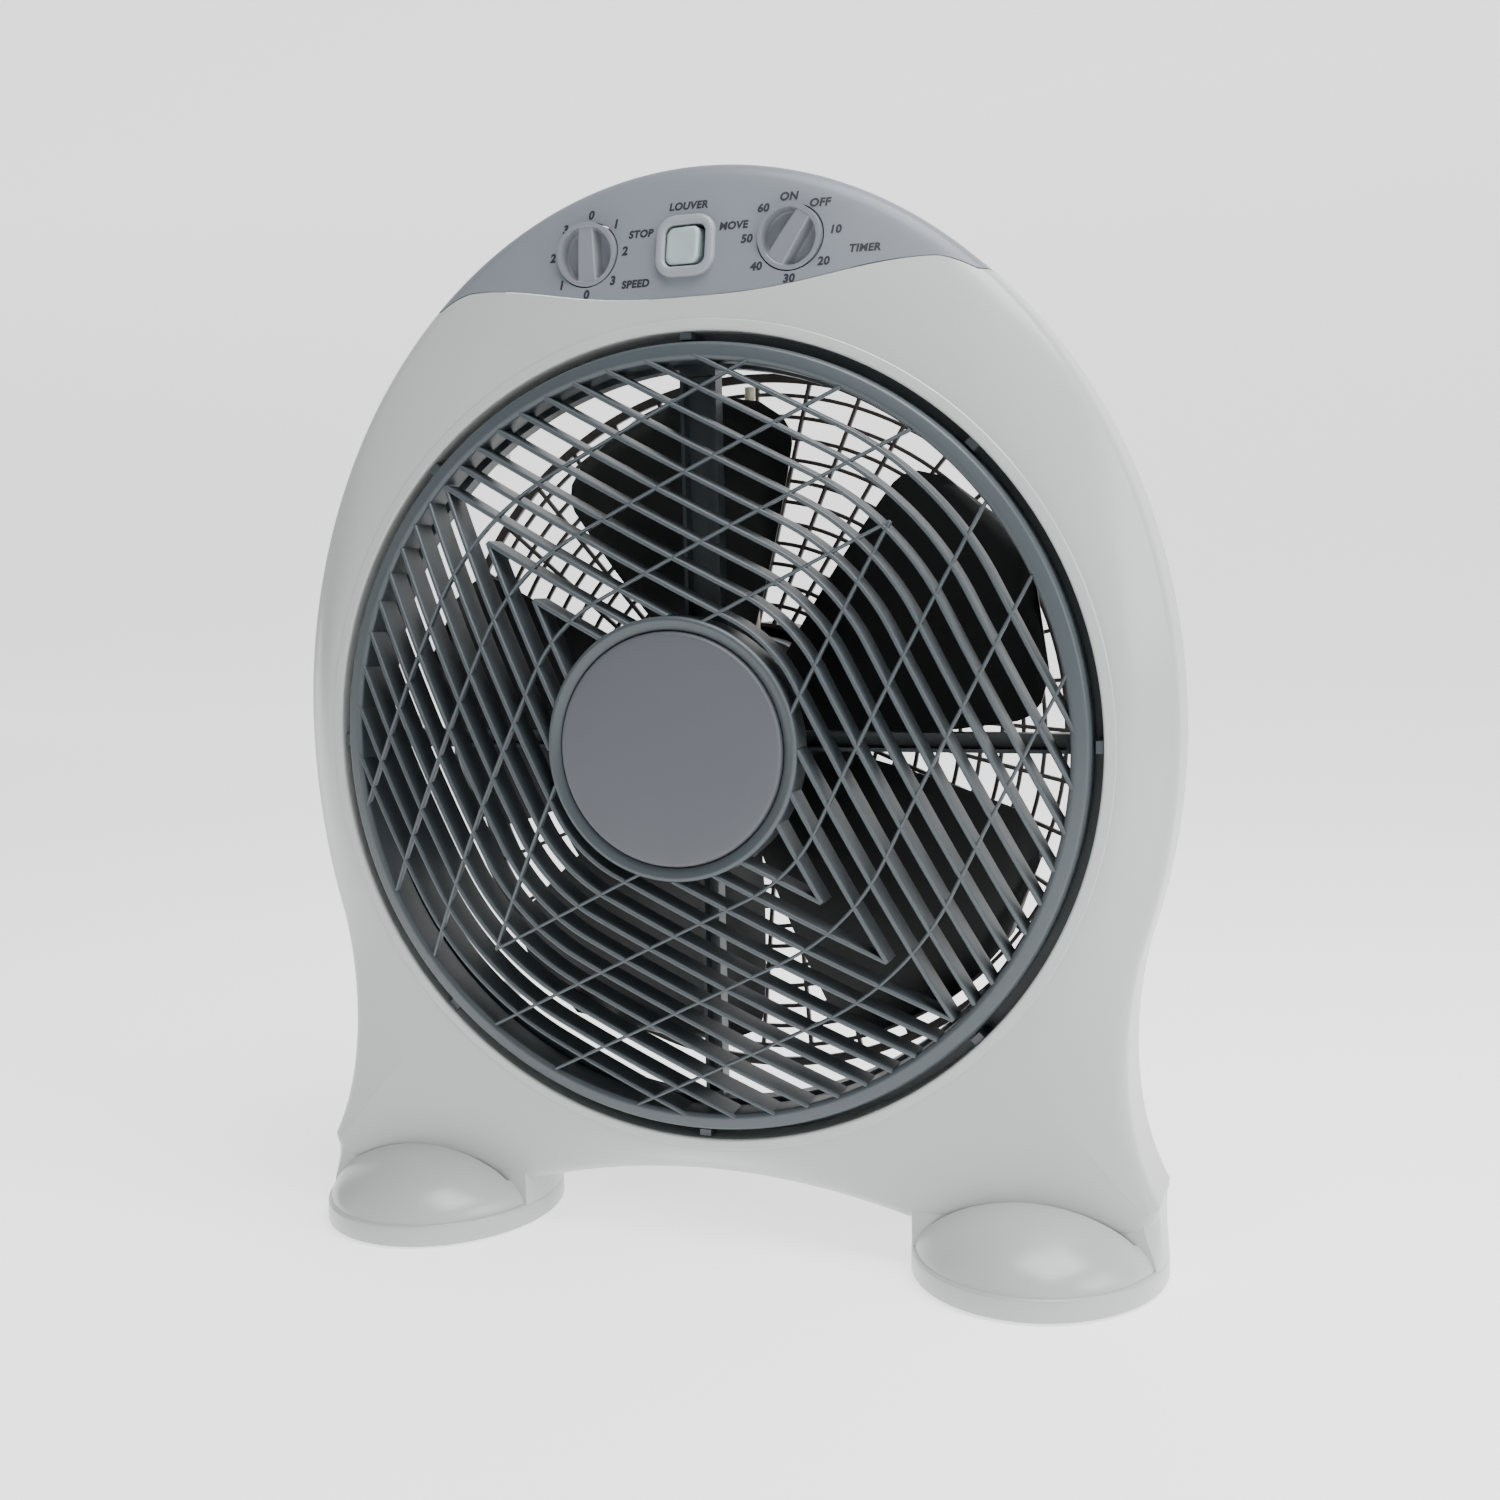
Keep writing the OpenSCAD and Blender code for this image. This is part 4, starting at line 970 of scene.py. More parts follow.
        wells.append(lay.turned([(0, back - 12), (6.3, back - 12), (6.3, back + 2), (0, back + 2)], 48,
                                (gland_low.x + gland_high.x) / 2, (gland_low.z + gland_high.z) / 2))
        wells.append(lay.stacked([(grip, back - 30), (grip, back + 3)], 0, lay.panel_z))
        carved(shell, wells, 30)
        self._well_liners()

    def screw_places(self) -> list[Vector]:
        """Places of the case screws, as x and z."""
        lay = self.layout
        return [Vector((lay.open_r + 14) * Vector((math.cos(a), math.sin(a)))) + Vector((0, lay.ring_z))
                for a in map(math.radians, self.boss_angles)]

    def _well_liners(self) -> None:
        """The tubes behind the screw wells, with a shoulder that each case screw pulls against."""
        lay = self.layout
        floor, mouth = lay.parting + 10, lay.back - 1
        profile = fillet([(1.6, floor), (1.6, lay.parting + 0.4), (5, lay.parting + 0.4), (5, mouth),
                          (3.4, mouth),
                          (3.4, floor)], 0.2, 2)
        mesh = merged(lay.turned(profile, 32, p.x, p.y) for p in self.screw_places())
        placed("rear_shell_bosses", mesh, PALETTE.shell, "housing")

    def grip_cup(self) -> None:
        """The carrying grip: an open cup with a rolled flange."""
        lay = self.layout
        low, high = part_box("grip_cup")[0] / MM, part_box("grip_cup")[1] / MM
        floor, face = low.y - lay.rim_y, high.y - lay.rim_y
        width, height = high.x - low.x, high.z - low.z
        outer = (width - 6, height - 6)
        path = [(outer[0], outer[1], 5.8, floor), (outer[0], outer[1], 5.8, face - 1.3),
                (width, height, 8.4, face - 1.2),
                (width, height, 8.4, face - 0.5), (width - 1, height - 1, 8, face),
                (outer[0] - 2, outer[1] - 2, 5, face), (outer[0] - 3.4, outer[1] - 3.4, 4.4, face - 0.7),
                (outer[0] - 4, outer[1] - 4, 4, face - 2.4), (outer[0] - 5, outer[1] - 5, 4, floor + 5),
                (outer[0] - 6.5, outer[1] - 6.5, 4, floor + 2.8),
                (outer[0] - 11, outer[1] - 11, 2, floor + 2)]
        sections = [(rounded_rectangle(w, h, r), d) for w, h, r, d in path]
        placed("grip_cup_moulding", lay.stacked(sections, 0, lay.panel_z), PALETTE.shell, "housing",
               ["grip_cup"], 40)

    def cord_gland(self) -> None:
        """The rubber sleeve in the cord's way out, with its stepped collar."""
        lay = self.layout
        low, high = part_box("cord_gland")[0] / MM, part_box("cord_gland")[1] / MM
        start, end = low.y - lay.rim_y, high.y - lay.rim_y
        outer = (high.x - low.x) / 2
        profile = fillet([(3.6, start), (6, start), (6, end - 2.5), (outer, end - 2.5), (outer, end - 1.1),
                          (outer - 2.6, end), (3.6, end)], 0.5, 3)
        mesh = lay.turned(profile, 64, (low.x + high.x) / 2, (low.z + high.z) / 2)
        placed("cord_gland_sleeve", mesh, PALETTE.rubber, "housing", ["cord_gland"])

    def foot(self, side: int, name: str) -> None:
        """One dome foot: an upright wall, a soft crease and a dome that runs in under the body.

        Args:
            side: -1 for the left foot, 1 for the right.
            name: the word in its node's name.
        """
        lay = self.layout
        node = f"foot_{name}"
        low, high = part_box(node)[0] / MM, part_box(node)[1] / MM
        rx, ry = (high.x - low.x) / 2, (high.y - low.y) / 2
        centre_depth = (low.y + high.y) / 2 - lay.rim_y
        base, wall_h, rise = low.z, self.foot_wall, self.foot_rise
        steps, around = 30, 144

        def ring(u: float, z: float, grow: float = 0.0) -> list[Vector]:
            """An oval ring.

            Args:
                u: share of the foot's full size.
                z: height.
                grow: distance added outside that.

            Returns:
                The ring.
            """
            points = []
            for k in range(around):
                a = 2 * math.pi * k / around
                points.append(lay.at(side * lay.foot_x + (rx * u + grow) * math.cos(a), z,
                                     centre_depth + (ry * u + grow) * math.sin(a)))
            return points

        edge = ((0, -3.0), (0, -0.8), (0.25, -0.25), (0.8, 0.0), (wall_h - 1.1, -0.1), (wall_h - 0.4, -0.35),
                (wall_h, -0.9), (wall_h + 0.1, -1.6))
        rings = [ring(1, base + up, grow) for up, grow in edge]
        for k in range(1, steps + 1):
            u = math.cos(math.radians(90 * k / steps) * 0.985)
            rings.append(ring(u, base + wall_h + rise * (1 - u * u) ** 0.62, -1.6 * u))
        for k in range(steps, -1, -2):
            u = math.cos(math.radians(90 * k / steps) * 0.985)
            rings.append(ring(u, max(base + wall_h + rise * (1 - u * u) ** 0.62 - 3, base + 3), -4.5 * u))
        piece = placed(f"foot_{name}_dome", loft(rings), PALETTE.shell, "housing", [node], 35)
        cut = self._crease_depth(lay.leg_z) - 1
        box = rounded_rectangle(2 * ry, 80, 0.5, 1)
        carved(piece,
               [lay.stacked([(box, cut), (box, cut + 2 * ry)], side * lay.foot_x, lay.leg_z - 0.2 + 40)], 35)
        skirt = self._skirt(side, rx, ry, centre_depth, base + wall_h - 1.5, cut + 1.3)
        placed(f"foot_{name}_boot", skirt, PALETTE.shell, "housing", sharp=30)
        self._foot_underside(side, name, rx, ry, centre_depth, base)

    def _skirt(self, side: int, rx: float, ry: float, centre_depth: float, low: float, cut: float) -> Mesh:
        """The upright wall of a foot under the leg, which meets the leg's side and round corner.

        Args:
            side: -1 for the left foot, 1 for the right.
            rx: half the foot's width.
            ry: half its depth.
            centre_depth: depth of its middle.
            low: height where the wall starts.
            cut: depth of its flat front.

        Returns:
            Vertices and faces.
        """
        lay, line = self.layout, self.outline
        corner = line.leg_corner
        flank = lay.head_a - line.leg_in
        roll = self.edge_drop + 2
        around, rows = 192, 8
        rings = []
        for wall, order in ((0.35, range(rows + 1)), (3.0, range(rows, -1, -1))):
            for row in order:
                ring = []
                for k in range(around):
                    a = 2 * math.pi * k / around
                    x = lay.foot_x + (rx - wall) * math.cos(a)
                    depth = max(centre_depth + (ry - wall) * math.sin(a), cut + wall)
                    inset = line.edge_inset * (1 - min((depth - cut) / roll, 1)) ** 1.8
                    top_x = min(x, flank - inset - wall)
                    off = max(top_x - (flank - corner), 0)
                    top_z = lay.leg_z + corner - math.sqrt(corner ** 2 - off ** 2) + inset + 0.6
                    t = row / rows
                    bend = t * t * (3 - 2 * t)
                    ring.append(lay.at(side * (x + (top_x - x) * bend), low + (top_z - low) * t, depth))
                rings.append(ring)
        return loft(rings)

    def _foot_underside(self, side: int, name: str, rx: float, ry: float, centre_depth: float,
                        base: float) -> None:
        """The deck under the leg, the pad sockets and the screw posts of one foot.

        Args:
            side: -1 for the left foot, 1 for the right.
            name: the word in its node's name.
            rx: half the foot's width.
            ry: half its depth.
            centre_depth: depth of its middle.
            base: height of its lower edge.
        """
        lay = self.layout
        deck = lay.leg_z - 0.2
        around = 96
        rings = []
        for s, z in ((0.84, deck - 0.02), (0.84, deck - 3), (0.02, deck - 3), (0.02, deck - 0.02)):
            ring = []
            for k in range(around):
                a = 2 * math.pi * k / around
                y = max(centre_depth + ry * s * math.sin(a), lay.panel + 1.6)
                ring.append(lay.at(side * lay.foot_x + rx * s * math.cos(a), z, y))
            rings.append(ring)
        meshes = [loft(rings)]
        low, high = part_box("foot_pads")[0] / MM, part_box("foot_pads")[1] / MM
        reach = (high.y - low.y) / 2 - 9
        for k in (-1, 1):
            meshes.append(self._upright(side * lay.foot_x, centre_depth + k * reach, 10.5, 9.05, base, 3.2,
                                        deck - 2.5 if k > 0 else 20))
        for k in (-1, 1):
            meshes.append(self._upright(side * lay.foot_x + 20 * k, centre_depth + 14, 6, 3.6, base, 9.2,
                                        deck - 2.5))
        placed(f"foot_{name}_underside", merged(meshes), PALETTE.shell, "housing")

    def _upright(self, x: float, depth: float, outer: float, inner: float, base: float, floor: float,
                 top: float) -> Mesh:
        """A post with a blind socket in its lower end, turned about an upright axis.

        Args:
            x: place of the axis.
            depth: depth of the axis.
            outer: radius of the post.
            inner: radius of the socket.
            base: height of the lower end.
            floor: height of the socket's floor.
            top: height of the upper end.

        Returns:
            Vertices and faces.
        """
        profile = fillet([(0, floor), (inner, floor), (inner, base), (outer, base), (outer, top), (0, top)],
                         0.3, 2)
        rings = []
        for r, z in profile:
            rings.append([self.layout.at(x + r * math.cos(2 * math.pi * k / 40), z,
                                         depth + r * math.sin(2 * math.pi * k / 40)) for k in range(40)])
        return loft(rings)

    def pads(self) -> None:
        """The four rubber pads, each with a worn rounded edge and a shallow ring pressed in."""
        lay = self.layout
        low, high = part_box("foot_pads")[0] / MM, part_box("foot_pads")[1] / MM
        r = 9.0
        front, rear = low.y + r - lay.rim_y, high.y - r - lay.rim_y
        profile = fillet([(0, high.z), (r - 0.1, high.z), (r - 0.1, low.z), (6.2, low.z), (5.8, 0.4),
                          (4.8, 0.4),
                          (4.4, low.z), (0, low.z)], 0.4, 3)
        meshes = []
        for side in (-1, 1):
            for depth in (front, rear):
                rings = []
                for radius, z in profile:
                    rings.append([lay.at(side * lay.foot_x + radius * math.cos(2 * math.pi * k / 48), z,
                                         depth + radius * math.sin(2 * math.pi * k / 48)) for k in range(48)])
                meshes.append(loft(rings))
        placed("foot_pad_set", merged(meshes), PALETTE.rubber, "housing", ["foot_pads"])


# ---- louver --------------------------------------------------------------------------------
@dataclass
class Louver:
    """The domed rotating louver: curved vanes, thin cross ribs, an outer ring, a hub ring and a cap.

    Attributes:
        layout: places from the frame.
        ring_width: face width of the outer ring.
        front: depth of the outer ring's face.
        hub_r: outer radius of the hub ring.
        vane_pitch: spacing of the vanes.
        vane_width: thickness of a vane.
        vane_depth: depth of a vane, front to back.
        vane_slope: slope of a vane's straight part, in degrees.
        rib_pitch: spacing of the cross ribs.
        rib_first: distance of the first cross rib from the hub's middle.
        rib_width: thickness of a cross rib.
        rib_depth: depth of a cross rib.
    """

    layout: Layout
    ring_width: float = 7.9
    front: float = -4.0
    hub_r: float = 54.0
    vane_pitch: float = 10.7
    vane_width: float = 2.0
    vane_depth: float = 13.0
    vane_slope: float = 27.0
    rib_pitch: float = 29.0
    rib_first: float = 39.0
    rib_width: float = 1.4
    rib_depth: float = 3.0

    @property
    def inner_r(self) -> float:
        """Inner radius of the outer ring."""
        return self.layout.louver_r - self.ring_width

    def build(self) -> None:
        """Builds the louver's pieces."""
        self.grille()
        self.cap()

    def _dome(self, r: float) -> float:
        """Depth of the dome's front at radius r."""
        rise = self.front - self.layout.hub_front
        k = rise / (self.inner_r ** 2 - self.hub_r ** 2)
        return self.front - k * (self.inner_r ** 2 - min(max(r, self.hub_r), self.inner_r) ** 2)

    def _path(self, rho: float) -> list[Pair]:
        """The line of one vane: a straight, an arc about the hub and a straight.

        Args:
            rho: distance of the line's arc from the hub's middle.

        Returns:
            Points about the hub.
        """
        steep, flat = math.radians(90 - self.vane_slope), math.radians(self.vane_slope)
        mitre = (math.sin(steep) + math.cos(steep)) / (math.sin(steep) - math.cos(steep))
        reach = min(mitre * rho, math.sqrt(max((self.inner_r + self.ring_width / 2) ** 2 - rho * rho, 0)))
        steps = max(int(reach / 4), 2)
        path = []
        for k in range(steps, 0, -1):
            s = reach * k / steps
            path.append((rho * math.cos(steep) - s * math.sin(steep),
                         rho * math.sin(steep) + s * math.cos(steep)))
        turns = max(int(rho * (steep - flat) / 4), 3)
        for k in range(turns + 1):
            a = steep + (flat - steep) * k / turns
            path.append((rho * math.cos(a), rho * math.sin(a)))
        for k in range(1, steps + 1):
            s = reach * k / steps
            path.append((rho * math.cos(flat) + s * math.sin(flat),
                         rho * math.sin(flat) - s * math.cos(flat)))
        return path

    def _strips(self, rho: float) -> list[list[Pair]]:
        """The stretches of a vane's line between the hub ring and the outer ring.

        Args:
            rho: distance of the line's arc from the hub's middle.

        Returns:
            The stretches, each a list of points about the hub.
        """
        strips: list[list[Pair]] = [[]]
        for x, z in self._path(rho):
            if self.hub_r - 1.5 <= math.hypot(x, z) <= self.inner_r + 3.5:
                strips[-1].append((x, z))
            elif strips[-1]:
                strips.append([])
        return [s for s in strips if len(s) > 2]

    def _blade(self, line: Sequence[Pair], width: float, depth: float, turn: float, flip: int) -> Mesh:
        """Sweeps a strip's rounded section along its line on the dome.

        Args:
            line: points about the hub.
            width: thickness of the strip.
            depth: how far it runs back.
            turn: 1, or -1 for the family turned half way round.
            flip: 1, or -1 for the mirrored family.

        Returns:
            Vertices and faces.
        """
        lay = self.layout
        half = width / 2
        section = [(half * math.sin(math.radians(a)), half * (1 - math.cos(math.radians(a))))
                   for a in range(-90, 91, 22)]
        section += [(half * 0.8, depth), (-half * 0.8, depth)]
        rings = []
        for k, (x, z) in enumerate(line):
            ahead = Vector(line[min(k + 1, len(line) - 1)]) - Vector(line[max(k - 1, 0)])
            side = Vector((-ahead.y, ahead.x)).normalized()
            front = self._dome(math.hypot(x, z))
            rings.append([lay.at(turn * flip * (x + s * side.x), lay.ring_z + turn * (z + s * side.y),
                                 front + d)
                          for s, d in section])
        return loft(rings, loop=False, caps=True)

    def _family(self, first: float, pitch: float, width: float, depth: float, flip: int) -> list[Mesh]:
        """Every strip of one pattern, on both sides of its mitre.

        Args:
            first: distance of the first strip from the hub's middle.
            pitch: spacing of the strips.
            width: thickness of a strip.
            depth: how far a strip runs back.
            flip: 1, or -1 for the mirrored family.

        Returns:
            One mesh for each strip.
        """
        found = []
        rho = first
        while rho <= self.inner_r - 4:
            for line in self._strips(rho):
                found += [self._blade(line, width, depth, turn, flip) for turn in (1, -1)]
            rho += pitch
        return found

    def grille(self) -> None:
        """The vanes, ribs and rings as one moulding."""
        lay = self.layout
        inner, outer, face = self.inner_r, lay.louver_r, self.front
        meshes = self._family(1.5 * self.vane_pitch, self.vane_pitch, self.vane_width, self.vane_depth, 1)
        meshes += self._family(self.rib_first, self.rib_pitch, self.rib_width, self.rib_depth, -1)
        ring = [(inner, face + 1), (inner + 2, face), (outer - 1, face + 1.6), (outer, face + 4),
                (outer, face + 15),
                (outer - 2, face + 15), (outer - 2, face + 6), (inner + 2, face + 6), (inner + 2, face + 15),
                (inner, face + 15)]
        meshes.append(lay.turned(fillet(ring, 0.8), 256))
        hub, gap = lay.hub_front, lay.cap_r + 0.3
        meshes.append(lay.turned(fillet([(gap, hub + 1), (self.hub_r - 1.5, hub - 1), (self.hub_r, hub),
                                         (self.hub_r, hub + 14),
                                         (gap, hub + 14)], 0.7), 192))
        meshes.append(lay.turned([(3.5, hub + 9), (gap + 1, hub + 9), (gap + 1, hub + 12), (9, hub + 12),
                                  (9, 1.5),
                                  (3.5, 1.5)], 96))
        placed("louver_moulding", merged(meshes), PALETTE.louver, "louver", ["louver_grille"], 42)

    def cap(self) -> None:
        """The hub cap: a slightly crowned disc with a rounded edge."""
        lay = self.layout
        r, hub = lay.cap_r, lay.hub_front
        crown = [(r * math.sin(math.radians(a)),
                  hub - 2.2 + 1.6 * (1 - math.cos(math.radians(a)))) for a in range(0, 76, 5)]
        edge = bezier(crown[-1], (r - 0.9, hub - 0.9), (r, hub - 0.4), (r, hub + 1.6), 8)
        profile = crown + edge + [(r, hub + 9), (r - 2, hub + 9), (r - 2, hub + 3), (0, hub + 3)]
        placed("louver_cap_disc", lay.turned(profile, 192), PALETTE.cap, "louver", ["louver_cap"], 30)


# ---- impeller ------------------------------------------------------------------------------
@dataclass
class Impeller:
    """Five wide blades moulded with their hub.

    Attributes:
        layout: places from the frame.
        blades: number of blades.
        first: angle of the first blade, in degrees.
        thickness: blade thickness in the middle.
        reach: front to back reach at the root.
        hub_r: radius of the hub.
    """

    layout: Layout
    blades: int = 5
    first: float = 102.0
    thickness: float = 2.4
    reach: float = 32.0
    hub_r: float = 38.0
    tip_round: float = 0.8

    def build(self) -> None:
        """Builds the impeller as one piece."""
        lay = self.layout
        low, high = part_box("impeller")[0] / MM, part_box("impeller")[1] / MM
        front, back = low.y - lay.rim_y, high.y - lay.rim_y
        meshes = [self._blade(self.first + 360 * k / self.blades, front, back) for k in range(self.blades)]
        r = self.hub_r
        hub = [(4, front), (r - 5, front), (r, front + 5), (r, back), (r - 3, back), (r - 3, front + 6),
               (r - 6, front + 3), (9, front + 3), (9, back - 8), (4, back - 8)]
        meshes.append(lay.turned(fillet(hub, 1.5), 128))
        placed("impeller_moulding", merged(meshes), PALETTE.blade, "rotor", ["impeller"], 40)

    def _blade(self, angle: float, front: float, back: float) -> Mesh:
        """One twisted blade with a rounded tip and thin edges.

        Args:
            angle: place of the blade, in degrees.
            front: depth of the hub's front.
            back: depth of the hub's back.

        Returns:
            Vertices and faces.
        """
        lay = self.layout
        columns, rows = 24, 22
        root = self.hub_r - 1
        skins: list[list[Vector]] = [[], []]
        for j in range(rows + 1):
            v = j / rows
            r = root + (lay.blade_r - root) * v
            w = max(v - self.tip_round, 0) / (1 - self.tip_round)
            half = (31 - 5 * v) * (1 - min(w, 0.985) ** 2.6) ** 0.42
            for i in range(columns + 1):
                u = 2 * i / columns - 1
                a = math.radians(angle + half * u)
                middle = ((front + back) / 2 + self.reach * (1 - 0.25 * v) / 2 * u
                          + 3.5 * (1 - u * u) * (0.4 + v))
                skin = self.thickness * (1 - 0.75 * u ** 4) / 2
                for side, sign in ((0, -1), (1, 1)):
                    skins[side].append(lay.at(r * math.cos(a), lay.ring_z + r * math.sin(a),
                                              middle + sign * skin))
        n = columns + 1
        size = n * (rows + 1)
        verts = skins[0] + skins[1]
        faces: list[tuple[int, ...]] = []
        for j in range(rows):
            for i in range(columns):
                q = (j * n + i, j * n + i + 1, (j + 1) * n + i + 1, (j + 1) * n + i)
                faces.append(q)
                faces.append(tuple(size + k for k in reversed(q)))
        edge = ([(i, i + 1) for i in range(columns)] + [(rows * n + i + 1,
                                                         rows * n + i) for i in range(columns)]
                + [(j * n + n - 1,
                    (j + 1) * n + n - 1) for j in range(rows)] + [((j + 1) * n, j * n) for j in range(rows)])
        faces += [(b, a, size + a, size + b) for a, b in edge]
        return verts, faces


# ---- rear guard ----------------------------------------------------------------------------
@dataclass
class RearGuard:
    """The round rear grille with its slanted ribs, and the cover of the motor.

    Attributes:
        layout: places from the frame.
        pitch: spacing of the rings.
        rib: width of a ring or rib.
        ribs: number of slanted ribs.
        slant: slant of the ribs, in degrees.
    """

    layout: Layout
    pitch: float = 9.5
    rib: float = 1.8
    ribs: int = 40
    slant: float = -14.0

    def build(self) -> None:
        """Builds the grille and the cover."""
        self.grille()
        self.cover()

    def grille(self) -> None:
        """The rear grille as one moulding."""
        lay = self.layout
        outer = lay.duct_r + 4.8
        front = lay.back - 4
        back = front + 3
        low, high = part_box("motor_cover")[0] / MM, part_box("motor_cover")[1] / MM
        wall = high.x
        plate = low.y - lay.rim_y
        meshes = [lay.turned(fillet([(outer - 4, front), (outer, front), (outer, back), (outer - 4, back)],
                                    0.6), 192)]
        r = wall + self.pitch
        while r <= outer - 6:
            meshes.append(lay.turned(fillet([(r, front + 0.8), (r + self.rib, front + 0.8),
                                             (r + self.rib, back),
                                             (r, back)], 0.5, 3), 128))
            r += self.pitch
        meshes += [self._bar(360 * k / self.ribs, wall + 1, outer - 2, front + 0.4,
                             back) for k in range(self.ribs)]
        cup = [(wall, front), (wall + 2, front), (wall + 2, plate), (0, plate), (0, plate - 2.5),
               (wall, plate - 2.5)]
        meshes.append(lay.turned(fillet(cup, 0.5), 128))
        placed("rear_grille_moulding", merged(meshes), PALETTE.grille, "housing", ["rear_grille"])

    def _bar(self, angle: float, start: float, end: float, front: float, back: float) -> Mesh:
        """One slanted rib with rounded edges.

        Args:
            angle: place of the rib, in degrees.
            start: radius where it starts.
            end: radius where it ends.
            front: depth of its front.
            back: depth of its back.

        Returns:
            Vertices and faces.
        """
        lay = self.layout
        section = fillet([(10 - self.rib / 2, front), (10 + self.rib / 2, front), (10 + self.rib / 2, back),
                          (10 - self.rib / 2, back)], 0.5, 3)
        slant = math.radians(self.slant)
        turn = Matrix.Rotation(math.radians(angle), 2)
        rings = []
        for length in (0, (end - start) / 2, end - start - 0.5):
            ring = []
            for s, d in section:
                p = turn @ Vector((start + length * math.cos(slant) - (s - 10) * math.sin(slant),
                                   length * math.sin(slant) + (s - 10) * math.cos(slant)))
                ring.append(lay.at(p.x, lay.ring_z + p.y, d))
            rings.append(ring)
        return loft(rings, loop=False, caps=True)

    def cover(self) -> None:
        """The cover of the motor, a shallow dish with five slots."""
        lay = self.layout
        low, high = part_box("motor_cover")[0] / MM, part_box("motor_cover")[1] / MM
        r, start, end = high.x, low.y - lay.rim_y, high.y - lay.rim_y
        profile = fillet([(0, end), (r - 0.2, end), (r, start), (r - 2, start), (r - 2, end - 1),
                          (0, end - 1)], 1.4)
        piece = placed("motor_cover_dish", lay.turned(profile, 128), PALETTE.grille, "housing",
                       ["motor_cover"])
        slot = rounded_rectangle(44, 3, 1.4)
        carved(piece, [lay.stacked([(slot, end - 3), (slot, end + 1)], 0,
                                   lay.ring_z + z) for z in range(-20, 21, 8)])


# ---- controls ------------------------------------------------------------------------------
@dataclass(frozen=True)
class Mark:
    """A word or number printed on the panel.

    Attributes:
        text: what it says.
        x: place of its middle.
        z: height of its middle.
        size: height of the type.
    """

    text: str
    x: float
    z: float
    size: float = 5.0


